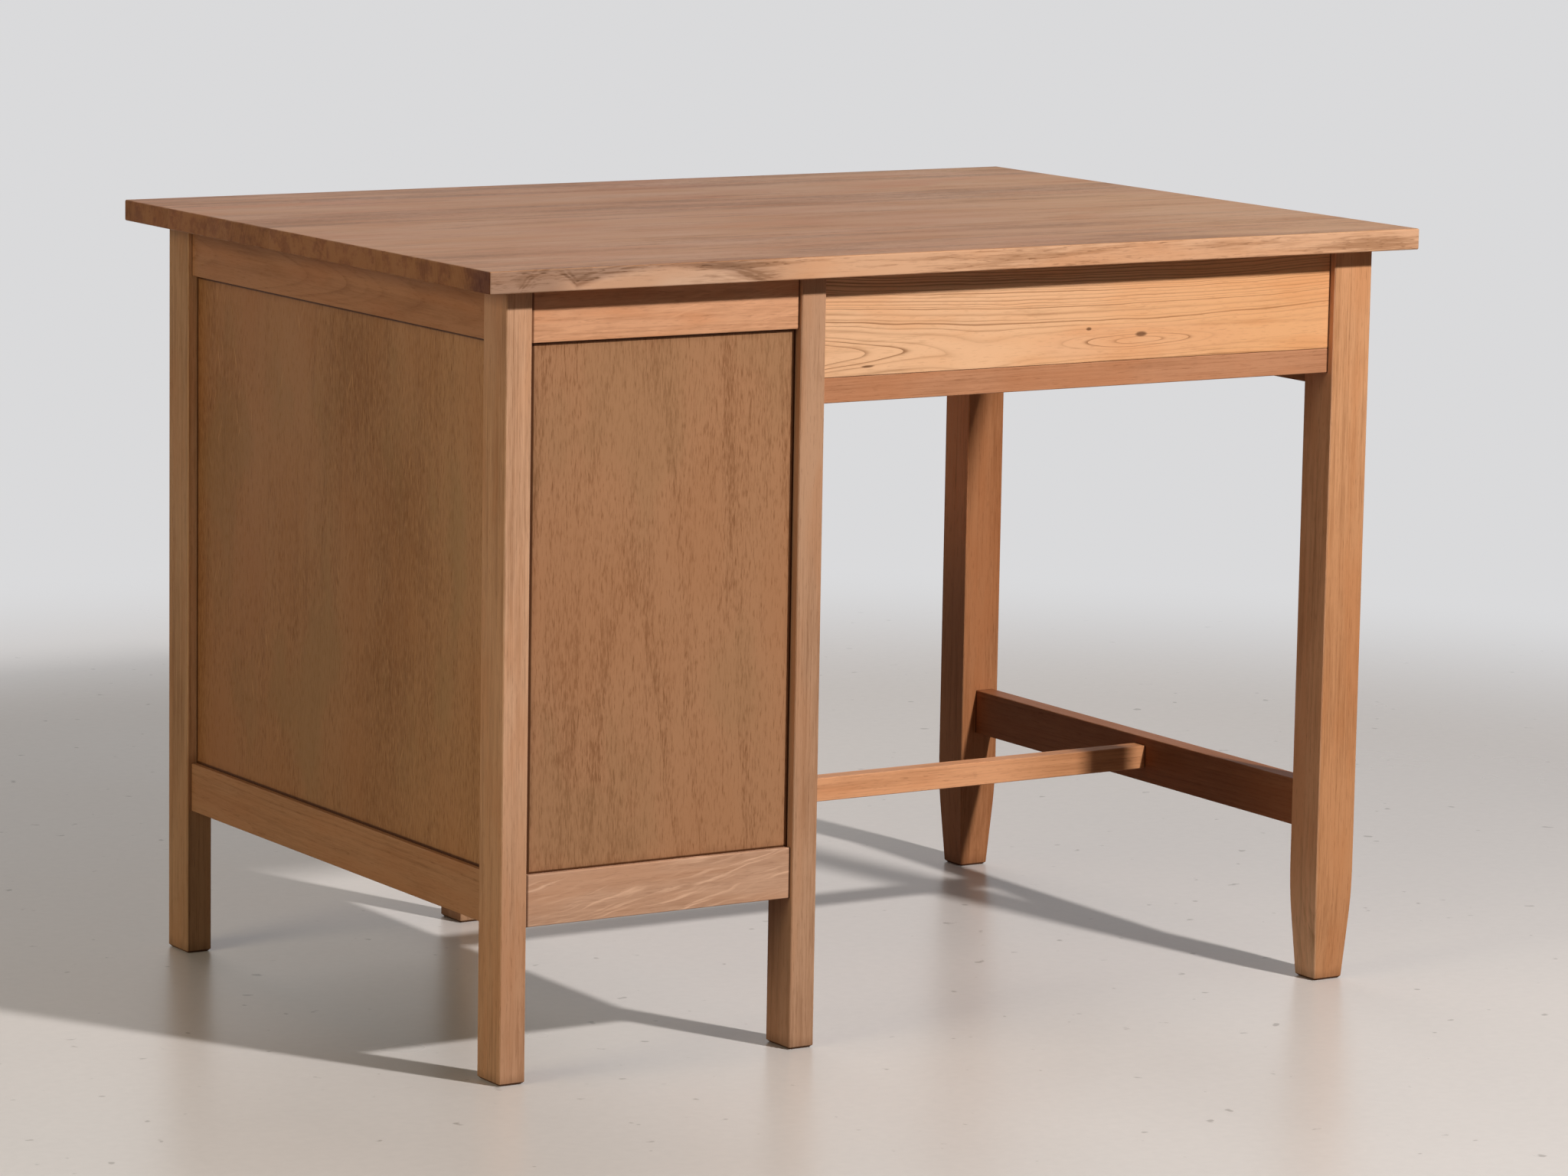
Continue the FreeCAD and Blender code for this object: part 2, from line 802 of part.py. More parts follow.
def drawer_runners():
    strips = []
    for face, wall, inward, run, clear, top in running_sides():
        height = (top - runner_thickness, top)
        ledge = pair_from(face, inward * runner_width)
        reach = (min(wall, ledge[0]), max(wall, ledge[1]))
        tongue_z = (middle(height) - runner_tongue_thickness / 2,
                    middle(height) + runner_tongue_thickness / 2)
        tongue_run = [run[0] - runner_tongue_length, run[1]]
        if face in knee_x:
            tongue_run[1] += runner_tongue_length
        pieces = [solid((ledge, run, height)), solid((reach, clear, height)),
                  solid((ledge, tuple(tongue_run), tongue_z))]
        strips.append(cut_all(join(pieces), side_rail_blocks()))
    return Part.makeCompound(strips)


def drawer_guides():
    strips = []
    for face, wall, inward, run, clear, top in running_sides():
        strips.append(solid((pair_from(face, wall - face), clear, (top, top + guide_rise))))
    return Part.makeCompound(strips)


def drawer_stops():
    blocks = []
    for face, wall, inward, run, clear, top in running_sides():
        start = drawer_end + stop_gap
        blocks.append(solid((pair_from(face, inward * runner_width), (start, start + stop_length),
                             (top, top + stop_height))))
    return Part.makeCompound(blocks)


def kicker_spaces():
    inside = rail_setback + rail_thickness
    apron_inside = right_x + apron_setback + apron_thickness
    layers = [((outer_stile_x[0] - runner_width, outer_x - inside), clear_y),
              ((inner_x + inside, inner_stile_x[1] + runner_width), clear_y),
              ((inner_x - runner_width, inner_x + rail_setback), clear_y),
              ((apron_inside, leg_x[1] + runner_width), leg_clear_y)]
    return [(x_pair, y_pair, front_top_rail_z) for x_pair, y_pair in layers]


def top_kickers():
    strips = [cut_all(solid(space), screws(screw_fit)) for space in kicker_spaces()]
    return Part.makeCompound(strips)


# Buttons and screws that hold the top down

def button_tongue_z():
    return set_in(front_top_rail_z[0], 1, 0, button_tongue_thickness)


def button_groove(x_pair, inside):
    """The groove along a back rail's inner face that takes the buttons' tongues."""
    space = (x_pair, pair_from(inside - overrun, overrun + button_tongue_length), button_tongue_z())
    return solid(swell(space, (overrun, mortise_end_gap, tenon_ease)))


def button_places():
    """The middle of each button and the rail face that it hooks into."""
    rail_inside = back_y - rail_setback - rail_thickness
    board_inside = back_y - knee_board_setback - knee_board_thickness
    places = [(between(clear_x, share), rail_inside) for share in pedestal_button_shares]
    places += [(between(knee_x, share), board_inside) for share in knee_button_shares]
    return places


def top_buttons():
    buttons = []
    for centre, inside in button_places():
        x_pair = (centre - button_length / 2, centre + button_length / 2)
        body = eased((x_pair, (inside - button_depth, inside), front_top_rail_z), along_x, rail_arris)
        tongue = solid((x_pair, (inside, inside + button_tongue_length), button_tongue_z()))
        buttons.append(cut_all(join([body, tongue]), screws(screw_fit)))
    return Part.makeCompound(buttons)


def screw_places():
    """Where each screw goes up through a kicker, a front rail or a button."""
    places = []
    for x_pair, y_pair, z_pair in kicker_spaces():
        places += [(middle(x_pair), between(y_pair, share)) for share in kicker_screw_shares]
    rail_y = front_y + rail_setback + front_rail_depth / 2
    places += [(between(clear_x, share), rail_y) for share in pedestal_front_screw_shares]
    places += [(between(knee_x, share), rail_y) for share in knee_front_screw_shares]
    places += [(centre, inside - button_depth / 2) for centre, inside in button_places()]
    return places


def screw(place, ease):
    """A countersunk wood screw, its head flush with the strip's lower face."""
    head = screw_head_radius + ease
    shank = screw_radius + ease
    low = front_top_rail_z[0]
    length = screw_length + ease
    corners = [(0, 0), (head, 0), (shank, screw_head_height), (shank, length - screw_radius),
               (0, length)]
    points = [FreeCAD.Vector(place[0] + radius, place[1], low + rise) for radius, rise in corners]
    profile = Part.Face(Part.makePolygon(points + points[:1]))
    return profile.revolve(FreeCAD.Vector(place[0], place[1], low), along_z, 360)


def screws(ease):
    return [screw(place, ease) for place in screw_places()]


def top_screws():
    return Part.makeCompound(screws(0))


# Top: boards glued edge to edge, with the edges eased all round

def desk_top():
    half_length = top_length / 2
    half_width = top_width / 2
    slab = solid(((-half_length, half_length), (-half_width, half_width), (under_top, desk_height)))
    slab = slab.makeFillet(top_edge_round, slab.Edges)
    slab = cut_all(slab, screws(screw_fit))
    boards = []
    low = -half_width
    total = sum(top_board_shares)
    for share in top_board_shares:
        high = low + top_width * share / total
        board = solid(((-half_length, half_length), (low, high), (under_top, desk_height)))
        boards.append(slab.common(board))
        low = high
    return Part.makeCompound(boards)


# The whole desk, one entry for each node

def desk():
    parts = {"desk_top": desk_top()}
    stiles_x = {"outer": outer_stile_x, "inner": inner_stile_x}
    stiles_y = {"back": back_stile_y, "front": front_stile_y}
    for end, y_pair in stiles_y.items():
        for side, x_pair in stiles_x.items():
            parts["pedestal_stile_%s_%s" % (end, side)] = stile(x_pair, y_pair)
    parts["tapered_leg_back"] = tapered_leg(back_leg_y)
    parts["tapered_leg_front"] = tapered_leg(front_leg_y)
    for side in side_faces:
        parts["%s_side_top_rail" % side] = side_rail(side, top_rail_z)
        parts["%s_side_bottom_rail" % side] = side_bottom_rail(side)
        parts["%s_side_panel" % side] = solid(side_panel_space(side))
    parts["back_top_rail"] = back_top_rail()
    parts["back_bottom_rail"] = back_rail(bottom_rail_z)
    parts["back_panel"] = solid(back_panel_space())
    parts["pedestal_front_top_rail"] = pedestal_front_top_rail()
    for number in range(len(divider_levels())):
        parts["drawer_divider_%d" % (number + 1)] = divider(number)
    parts["pedestal_front_bottom_rail"] = pedestal_front_bottom_rail()
    parts["knee_back_board"] = knee_back_board()
    parts["knee_back_rail"] = knee_back_rail()
    parts["knee_front_top_rail"] = knee_front_top_rail()
    parts["knee_front_bottom_rail"] = knee_front_bottom_rail()
    parts["knee_end_apron"] = end_timber(apron_z)
    parts["end_stretcher"] = end_stretcher()
    parts["middle_stretcher"] = middle_stretcher()
    parts["drawer_runners"] = drawer_runners()
    parts["drawer_guides"] = drawer_guides()
    parts["drawer_stops"] = drawer_stops()
    parts["top_kickers"] = top_kickers()
    parts["top_buttons"] = top_buttons()
    parts["top_screws"] = top_screws()
    for name, (x_pair, level, knob_shares) in drawer_openings().items():
        opening = (x_pair, level)
        parts[name + "_front"] = drawer_front(opening, knob_shares)
        parts[name + "_sides"] = drawer_sides(opening)
        parts[name + "_back"] = drawer_back(opening)
        parts[name + "_bottom"] = drawer_bottom(opening)
        parts[name + "_knob"] = drawer_knobs(opening, knob_shares)
    return parts


os.makedirs("parts", exist_ok=True)
for node, shape in desk().items():
    shape.exportStep("parts/%s.step" % node)
    print(node, len(shape.Solids), "solids, volume", round(shape.Volume))
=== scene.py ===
# %% [markdown]
# # A pedestal writing desk in oiled oak
#
# The desk arrives from the CAD model as a finished set of boards, joints and drawers, called the frame
# here. Nothing moves or resizes it. The camera comes first. Then each board gets its wood, the knobs are
# turned and the screw heads cut, and the floor and the lamps come last. Everything is in metres: the
# origin is on the floor under the middle of the top, +X points to the pedestal, +Y to the back of the desk
# and +Z up.

import cmath
import math
import random

import bmesh
import bpy
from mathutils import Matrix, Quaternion, Vector


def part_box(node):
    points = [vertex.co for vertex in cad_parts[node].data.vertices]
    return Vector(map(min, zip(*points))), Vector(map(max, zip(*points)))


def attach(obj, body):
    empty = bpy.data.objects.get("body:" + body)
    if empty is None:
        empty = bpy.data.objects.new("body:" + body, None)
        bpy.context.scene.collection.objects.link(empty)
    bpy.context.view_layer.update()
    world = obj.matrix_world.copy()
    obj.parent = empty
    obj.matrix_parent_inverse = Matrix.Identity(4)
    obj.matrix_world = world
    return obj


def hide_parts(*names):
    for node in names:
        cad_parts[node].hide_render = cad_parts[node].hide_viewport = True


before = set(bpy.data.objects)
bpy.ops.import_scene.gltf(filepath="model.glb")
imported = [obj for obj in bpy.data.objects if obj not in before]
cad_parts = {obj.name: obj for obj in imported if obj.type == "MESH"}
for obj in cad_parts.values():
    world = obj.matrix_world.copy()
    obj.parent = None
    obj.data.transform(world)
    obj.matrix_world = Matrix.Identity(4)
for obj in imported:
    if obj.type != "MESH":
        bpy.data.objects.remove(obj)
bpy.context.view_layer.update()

# %% [markdown]
# ## Boxes and lengths
#
# A board's finish depends on where its middle and its faces are, and the frame knows that. Lengths are
# written in millimetres with a short factor, as a joiner thinks in millimetres and Blender in metres.

# %% Helpers for places
MM = 0.001


def middle_and_half(node):
    """The middle of a node's box and half of its size, in metres."""
    low, high = (Vector(corner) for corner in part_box(node))
    return (low + high) / 2, (high - low) / 2


print("desk top, mm:", [round(2 * side / MM) for side in middle_and_half("desk_top")[1]])

# %% [markdown]
# ## The camera
#
# The photograph was taken from far away with a long lens, a little above the top of the desk. The camera's
# place came from fitting the corners of the desk, so that the render can be laid beside it. Its direction
# is a turn, a downward tilt and a small roll, which are easier to read than a matrix.

# %% Camera
CAMERA_PLACE = (3.115, 4.9995, 1.3073)
CAMERA_TURN = math.radians(-122.136)
CAMERA_TILT = math.radians(8.956)
CAMERA_ROLL = math.radians(0.967)
SENSOR_WIDTH = 36.0
FOCAL_LENGTH = 138.25


def add_object(name, data):
    made = bpy.data.objects.new(name, data)
    bpy.context.scene.collection.objects.link(made)
    return made


def add_aimed(name, data, place, direction, roll=0.0):
    """Adds a camera or a lamp that stands at a place and looks in a direction."""
    made = add_object(name, data)
    made.location = place
    made.rotation_mode = "QUATERNION"
    made.rotation_quaternion = direction.to_track_quat("-Z", "Y") @ Quaternion((0, 0, 1), roll)
    return made


forward = Vector((math.cos(CAMERA_TURN) * math.cos(CAMERA_TILT),
                  math.sin(CAMERA_TURN) * math.cos(CAMERA_TILT),
                  -math.sin(CAMERA_TILT)))
camera_data = bpy.data.cameras.new("camera")
camera_data.sensor_width = SENSOR_WIDTH
camera_data.lens = FOCAL_LENGTH
bpy.context.scene.camera = add_aimed("camera", camera_data, CAMERA_PLACE, forward, CAMERA_ROLL)
print("camera looks along", [round(part, 3) for part in forward])

# %% [markdown]
# ## Shader sums as Python sums
#
# A wood shader is mostly arithmetic: distances from the heart of the log, rings, streaks. Wiring each Math
# node by hand hides the idea, so a small class wraps a socket, and an expression on it adds Math nodes.

# %% The socket class
def operator(operation, reflected=False):
    """A method that adds one Math node, with its two sides swapped if it is a reflected form."""
    if reflected:
        return lambda field, other: field.finish.sum(operation, other, field)
    return lambda field, other=0.0: field.finish.sum(operation, field, other)


class Field:
    """A shader socket that takes part in ordinary sums."""

    def __init__(self, finish, socket):
        self.finish = finish
        self.socket = socket

    __add__ = operator("ADD")
    __radd__ = operator("ADD", reflected=True)
    __sub__ = operator("SUBTRACT")
    __rsub__ = operator("SUBTRACT", reflected=True)
    __mul__ = operator("MULTIPLY")
    __rmul__ = operator("MULTIPLY", reflected=True)
    __truediv__ = operator("DIVIDE")
    __pow__ = operator("POWER")
    __abs__ = operator("ABSOLUTE")


print("a Field adds Math nodes for + - * / ** and abs")

# %% [markdown]
# ## One method that adds nodes
#
# Every node that isn't plain arithmetic comes from one method. It sets the node's own settings first,
# because they decide which sockets the node has, and then gives each socket its value or its link.

# %% The tree of nodes
class Tree:
    """The node tree of a material, a lamp or the world."""

    def __init__(self, owner):
        self.owner = owner
        owner.use_nodes = True
        self.tree = owner.node_tree
        self.tree.nodes.clear()

    def node(self, kind, settings=None, sockets=None, output=0):
        """Adds a node: its settings first, then the values or links of its sockets."""
        made = self.tree.nodes.new(kind)
        for name, value in (settings or {}).items():
            if name == "stops":
                self.set_stops(made.color_ramp, value)
            else:
                setattr(made, name, value)
        for name, value in (sockets or {}).items():
            if isinstance(value, Field):
                self.tree.links.new(value.socket, made.inputs[name])
            else:
                made.inputs[name].default_value = value
        return Field(self, made.outputs[output]) if made.outputs else None

    def set_stops(self, ramp, stops):
        while len(ramp.elements) < len(stops):
            ramp.elements.new(1.0)
        for element, (place, grey) in zip(ramp.elements, stops):
            element.position = place
            element.color = (grey, grey, grey, 1)

    def sum(self, operation, first, second=0.0):
        return self.node("ShaderNodeMath", {"operation": operation}, {0: first, 1: second})

    def close(self, surface, kind="Material"):
        """Links the surface to the output, and gives the finished material, lamp or world."""
        self.node("ShaderNodeOutput" + kind, None, {"Surface": surface})
        return self.owner


print("a Tree has", [name for name in vars(Tree) if not name.startswith("_")])

# %% [markdown]
# ## Masks, colours and noise
#
# These are the nodes that every finish uses. A soft step turns a value into a mask. Colours go through
# Mix nodes, because a Math node turns them grey.

# %% The finish class
class Finish(Tree):
    """A tree of nodes with the tools of a finish."""

    def step(self, value, low, high):
        """A soft step from 0 below low to 1 above high, or the other way where low is the higher."""
        return self.node("ShaderNodeMapRange", {"interpolation_type": "SMOOTHSTEP"},
                         {"Value": value, "From Min": low, "From Max": high})

    def mix(self, factor, first, second):
        """A mix of two colours. A plain colour is given as three linear values."""
        first, second = (part if isinstance(part, Field) else (*part, 1) for part in (first, second))
        return self.node("ShaderNodeMix", {"data_type": "RGBA", "clamp_factor": True},
                         {0: factor, 6: first, 7: second}, output=2)

    def tint(self, factor, colour, by):
        """Multiplies a colour by another where the factor is 1. Values above 1 brighten."""
        return self.node("ShaderNodeMix",
                         {"data_type": "RGBA", "blend_type": "MULTIPLY", "clamp_factor": True},
                         {0: factor, 6: colour, 7: (*by, 1)}, output=2)

    def parts(self, vector):
        return [self.node("ShaderNodeSeparateXYZ", None, {0: vector}, output=axis) for axis in range(3)]

    def joined(self, *parts):
        return self.node("ShaderNodeCombineXYZ", None, dict(enumerate(parts)))

    def point(self, scale=1.0):
        """The shaded point in the object's own axes, in lengths of 1 / scale metres."""
        return self.node("ShaderNodeVectorMath", {"operation": "SCALE"},
                         {0: self.node("ShaderNodeTexCoord", output="Object"), "Scale": scale})

    def facing(self, axis):
        """The part of the face's direction that lies along X, Y or Z."""
        return self.parts(self.node("ShaderNodeTexCoord", output="Normal"))[axis]

    def noise(self, place, detail=2.0, rough=0.5, colour=False):
        """Noise about 0.5 at a place in wavelengths, or three such noises where colour is asked for."""
        return self.node("ShaderNodeTexNoise", {"noise_dimensions": "3D"},
                         {"Vector": place, "Scale": 1.0, "Detail": detail, "Roughness": rough},
                         output="Color" if colour else "Fac")

    def dice(self, value):
        """A random number from 0 to 1 that is the same wherever the value is."""
        return self.node("ShaderNodeTexWhiteNoise", {"noise_dimensions": "1D"}, {"W": value},
                         output="Value")

    def shader(self, relief, strength, depth, **sockets):
        """A principled shader with the given sockets and a shallow relief."""
        bump = self.node("ShaderNodeBump", None,
                         {"Strength": strength, "Distance": depth, "Height": relief})
        sockets = {name.replace("_", " "): value for name, value in sockets.items()}
        return self.node("ShaderNodeBsdfPrincipled", None, {"Normal": bump, **sockets})


print("a Finish adds", [name for name in vars(Finish) if not name.startswith("_")])

# %% [markdown]
# ## A board as its shader sees it
#
# Wood has a direction, so a board's shader works in grain order: along the grain first, then the two
# directions across it, measured from the board's middle. Noise that is stretched along the grain makes
# fibres, pores or slow changes of colour. Each board has a seed, because two boards that match look like
# wallpaper, and where a node holds several boards the seed is a field. A board names one colour, its mean
# in plain light, and all its shades are tints of it, so that rings, streaks and pores belong to the same
# wood.

# %% The board class
GRAIN_ORDER = {"X": (0, 1, 2), "Y": (1, 0, 2), "Z": (2, 0, 1)}
SEED_MOVE, SALT_MOVE = 1.37, 7.3
# The grime shade darkens dirt and dark joints, and also the painted shade round the panels.
TINTS = {"light": (1.09, 1.10, 1.11), "dark": (0.68, 0.62, 0.56), "warm": (1.02, 0.88, 0.76),
         "pore": (0.44, 0.37, 0.31), "worn": (1.10, 1.18, 1.26), "ray": (1.36, 1.42, 1.46),
         "end": (0.68, 0.62, 0.56), "grime": (0.20, 0.15, 0.12), "olive": (0.86, 1.00, 0.98)}


class Board(Finish):
    """The finish of one board, with the board's box and the shaded point in grain order."""

    def __init__(self, node, grain, seed, colour):
        super().__init__(bpy.data.materials.new(node + "_finish"))
        self.order = GRAIN_ORDER[grain]
        self.seed = seed
        self.colour = colour
        middle, half = middle_and_half(node)
        self.middle = [middle[axis] for axis in self.order]
        self.half = [half[axis] for axis in self.order]
        point = self.parts(self.point())
        self.place = [point[axis] - middle[axis] for axis in self.order]

    def shade(self, tint):
        return tuple(part * factor for part, factor in zip(self.colour, TINTS[tint]))

    def wood(self, depth):
        """The wood between its light shade at a depth of 0 and its dark one at 1."""
        return self.mix(depth, self.shade("light"), self.shade("dark"))

    def stain(self, face, tint, mask):
        """Turns a face into one of the wood's other shades where the mask is 1."""
        return self.mix(mask, face, self.shade(tint))

    def grain(self, along, across, salt, **settings):
        """Noise with one wavelength along the grain and another across it."""
        move = self.seed * SEED_MOVE + salt * SALT_MOVE
        parts = [part / length + move for part, length in zip(self.place, (along, across, across))]
        return self.noise(self.joined(*parts), **settings)

    def chance(self, salt):
        """A value from 0 to 1 that belongs to this board alone."""
        if isinstance(self.seed, Field):
            return self.dice(self.seed + salt * 0.37)
        return random.Random("%g %g" % (self.seed, salt)).random()

    def end_grain(self):
        """1 on the cut ends of the board and 0 on its long faces."""
        return self.step(abs(self.facing(self.order[0])), 0.6, 0.8)

    def corner_distance(self):
        """Distance from the nearest long corner: the middle one of the distances to the pairs of faces."""
        gaps = [half - abs(part) for half, part in zip(self.half, self.place)]
        lower = self.sum("MINIMUM", gaps[0], gaps[1])
        upper = self.sum("MAXIMUM", gaps[0], gaps[1])
        return self.sum("MAXIMUM", lower, self.sum("MINIMUM", upper, gaps[2]))


print("grain orders:", GRAIN_ORDER, "shades of one wood:", sorted(TINTS))

# %% [markdown]
# ## Rings
#
# Oak grows a row of open pores each spring and dense wood each summer, so a ring shows as a dark line
# that fades into plain tan. The rings are cylinders about the heart of the log, and a board is a flat cut
# through them, so a texture that is a distance from the heart gives straight lines on one face, arches on
# the next and arcs on the end, without any image. The log is also a slow cone, which closes the lines
# into arches.

# %% Rings of a log
RING_STOPS = ((0.0, 1.0), (0.16, 0.6), (0.42, 0.16), (0.82, 0.0), (1.0, 0.5))


def ring_lines(board, distance, spacing):
    """Dark spring lines of rings whose widths and depths differ from year to year."""
    years = distance / spacing
    drift = board.node("ShaderNodeTexNoise", {"noise_dimensions": "1D"},
                       {"W": years * 0.31 + board.seed, "Scale": 1.0, "Detail": 1.0})
    years = years + (drift - 0.5) * 3.0
    depth = board.dice(board.sum("FLOOR", years) + board.seed)
    line = board.node("ShaderNodeValToRGB", {"stops": RING_STOPS}, {0: board.sum("FRACT", years)})
    return line * (depth * 0.65 + 0.35)


def log_rings(board, heart, spacing=3.4 * MM, taper=0.012, wander=5 * MM):
    """Rings about a heart whose place across the grain is measured from the board's middle."""
    bend = board.parts(board.grain(0.55, 0.16, 1, detail=1.5, colour=True))
    ripple = board.grain(0.09, 0.02, 2, detail=1.0)
    sides = [board.place[1 + axis] - heart[axis] + (bend[axis] - 0.5) * (wander * 2) for axis in range(2)]
    distance = (sides[0] * sides[0] + sides[1] * sides[1]) ** 0.5
    return ring_lines(board, distance + board.place[0] * taper + (ripple - 0.5) * (wander * 0.22), spacing)


print("a ring every", log_rings.__defaults__[0] / MM, "mm unless a board asks for another width")

# %% [markdown]
# ## The oiled surface
#
# The desk has been oiled and handled for decades: the wood is a warm tan, the open pores have filled with
# dirt, the corners are rubbed a little lighter and every inner corner holds a dark line. The gloss is low
# and uneven, and pores and rings are shallow grooves. A board asks for more or less of each.

# %% The oiled finish
def oiled(board, lines, contrast=0.45, streaks=1.2, clouds=1.1, pores=0.45, warmth=0.45, grime=0.0,
          rough=0.5, ink=0.0, rays=0.0, tones=()):
    """The oiled surface of a board, from its ring lines."""
    fibre = board.grain(38 * MM, 1.9 * MM, 3, detail=3.0, rough=0.65)
    streak = board.grain(0.28, 6 * MM, 4)
    cloud = board.grain(0.16, 50 * MM, 5, detail=3.0)
    warm = board.grain(0.13, 24 * MM, 6)
    dashes = board.step(board.grain(12 * MM, 1.25 * MM, 7), 0.55, 0.70)
    open_pores = dashes * (lines * 0.7 + 0.3)
    depth = (lines - 0.25) * contrast + (fibre - 0.5) * streaks + (streak - 0.5) * (streaks * 0.8)
    face = board.wood(depth + (cloud - 0.5) * clouds + 0.21)
    face = board.stain(face, "warm", board.step(warm, 0.42, 0.68) * warmth)
    face = board.stain(face, "ray", rays)
    face = board.stain(face, "pore", board.sum("MAXIMUM", open_pores * pores, lines * ink))

    end = board.end_grain()
    face = board.mix(end * 0.9, face, board.mix(lines * 0.7, board.shade("end"), board.shade("pore")))
    scuff = board.grain(0.03, 12 * MM, 8, detail=3.0)
    worn = board.step(board.corner_distance(), 1.8 * MM, 0.2 * MM) * board.step(scuff, 0.42, 0.62)
    face = board.stain(face, "worn", worn * 0.45)
    # Tones that a board asks for; some are painted light or painted shade, such as face tones, sheen or a
    # shaded end.
    for mask, tone in tones:
        face = board.tint(mask, face, tone)
    face = board.stain(face, "grime", grime)

    relief = fibre * 0.3 - open_pores * 0.9 - lines * 0.2
    roughness = rough + (cloud - 0.5) * 0.2 + open_pores * 0.12 + end * 0.15 - worn * 0.08
    return board.close(board.shader(relief, 0.3, 0.25 * MM, Base_Color=face, Roughness=roughness,
                                    Specular_IOR_Level=0.1))


print("contrast of the rings unless a board asks for another:", oiled.__defaults__[0])

# %% [markdown]
# ## Dark lines where pieces meet
#
# Oil and dust collect where one piece meets the next, so the photograph shows a fine dark line at every
# shoulder. The line all round each panel is painted shade as well as dust. The frame says where they are:
# a rail is seen only between the inner faces of its two uprights, and the rest of its box is tenon.

# %% Joint lines
LINE_WIDTH = 2.2 * MM


def shoulder_lines(board, low_node, high_node, extra=0.0):
    """Dark lines where the board enters two pieces, wider by extra at the far one."""
    axis = board.order[0]
    along = board.place[0] + board.middle[0]
    far_gap = abs(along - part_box(high_node)[0][axis]) - extra
    gap = board.sum("MINIMUM", abs(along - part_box(low_node)[1][axis]), far_gap)
    return board.step(gap, LINE_WIDTH, LINE_WIDTH / 3) * 0.85


print("joint lines, mm:", round(LINE_WIDTH / MM, 1))

# %% [markdown]
# ## Uprights
#
# The four pedestal uprights and the two tapered legs are straight-grained timber, cut well away from the
# heart of the log, so their rings run as fine straight lines from foot to top. Some faces are painted
# lighter, as painted light that the lamps don't bring there: light thrown up from the floor near the feet,
# light on the inner faces of the legs and light into the recess beside the side panel. A table gives each
# such face the axis it looks along, the two heights above the floor between which its tone comes in, and
# the tone. The front leg's wood is painted darker than the back leg's, as painted shade. Feet get wet and
# kicked, so their last few millimetres are darker.

# %% Uprights
STILE_OAK = (0.475, 0.252, 0.144)
GREYER_STILE_OAK = (0.455, 0.255, 0.153)
FAR_STILE_OAK = (0.440, 0.240, 0.125)
LEG_OAK = (0.505, 0.236, 0.110)
# The front tapered leg is painted darker than the back one, as painted shade.
SHADED_FAR_LEG_OAK = (0.385, 0.163, 0.073)
FOOT_STAIN = 14 * MM
# Each upright's wood, and its painted light: faces made lighter by the axis they look along and their
# height.
UPRIGHTS = {
    "pedestal_stile_back_outer": (STILE_OAK, [(1, 0.10, 0.40, (1.22, 1.30, 1.38)),
                                              (0, 0.70, 0.62, (1.13, 1.14, 1.08))]),
    "pedestal_stile_back_inner": (GREYER_STILE_OAK, [(0, 0.16, 0.00, (1.35, 1.33, 1.38))]),
    "pedestal_stile_front_outer": (FAR_STILE_OAK, [(1, 0.19, 0.21, (1.50, 1.60, 1.70))]),
    "pedestal_stile_front_inner": (STILE_OAK, [(1, 0.20, 0.10, (1.10, 1.24, 1.30))]),
    "tapered_leg_back": (LEG_OAK, [(0, -0.2, -0.1, (1.30, 1.47, 1.85)), (0, 0.16, 0.00, (1.40, 1.65, 1.85)),
                                   (1, 0.35, 0.62, (1.15, 1.23, 1.32))]),
    "tapered_leg_front": (SHADED_FAR_LEG_OAK, [(0, -0.2, -0.1, (1.22, 1.30, 1.42)),
                                        (0, 0.25, 0.45, (2.10, 2.00, 1.95))])}


def dress(node, finish, *values, **looks):
    """Makes a finish for a CAD node and gives it to all of the node's material slots."""
    material = finish(node, *values, **looks)
    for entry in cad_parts[node].material_slots:
        entry.material = material


def foot_stain(board, height):
    """Dirt that is thick at the floor and gone a finger's width above it."""
    patchy = board.grain(0.02, 9 * MM, 11, detail=3.0)
    stain = board.step(height + (patchy - 0.5) * FOOT_STAIN, FOOT_STAIN, 0.0)
    return (stain + board.step(height, 3 * MM, 1 * MM)) * 0.35


def upright(node, seed, colour, painted_face_light):
    board = Board(node, "Z", seed, colour)
    heart = (0.09 + 0.07 * board.chance(1), -0.10 + 0.16 * board.chance(2))
    lines = log_rings(board, heart, spacing=2.6 * MM, taper=0.004, wander=3 * MM)
    height = board.place[0] + board.middle[0]
    # Painted light on the faces that look along the given axis, between the given heights above the floor.
    tones = [(board.step(board.facing(axis), 0.5, 0.9) * board.step(height, low, high), tone)
             for axis, low, high, tone in painted_face_light]
    return oiled(board, lines, contrast=0.5, streaks=1.7, clouds=1.8, pores=0.5,
                 grime=foot_stain(board, height), tones=tones)


for number, (node, wood) in enumerate(UPRIGHTS.items()):
    dress(node, upright, 2.0 + number, *wood)
print("uprights:", len(UPRIGHTS))

# %% [markdown]
# ## Curl and rays
#
# Curl is a play of pale waves that cross the grain where the fibres weave in and out of the face: a noise
# that is stretched across the grain instead of along it, and slanted a little. Rays are thin pale streaks
# that climb slowly along the grain, in patches.

# %% Curl and rays
CURL_SLANT = 0.9
RAY_SLANT = 0.20


def wide_place(board):
    """The shaded point's place across the wider face of the board."""
    return board.place[2] if board.half[2] > board.half[1] else board.place[1]


def pale_rays(board, amount):
    """Thin pale streaks that wave and climb across the grain, where the saw met the rays of the oak."""
    wave = board.grain(60 * MM, 22 * MM, 12)
    climb = wide_place(board) + board.place[0] * RAY_SLANT + (wave - 0.5) * (14 * MM)
    place = board.joined(board.place[0] / (75 * MM) + board.seed, climb / (3.4 * MM))
    patch = board.step(board.grain(0.09, 30 * MM, 13, detail=1.0), 0.34, 0.56)
    return board.step(board.noise(place), 0.50, 0.72) * patch * amount


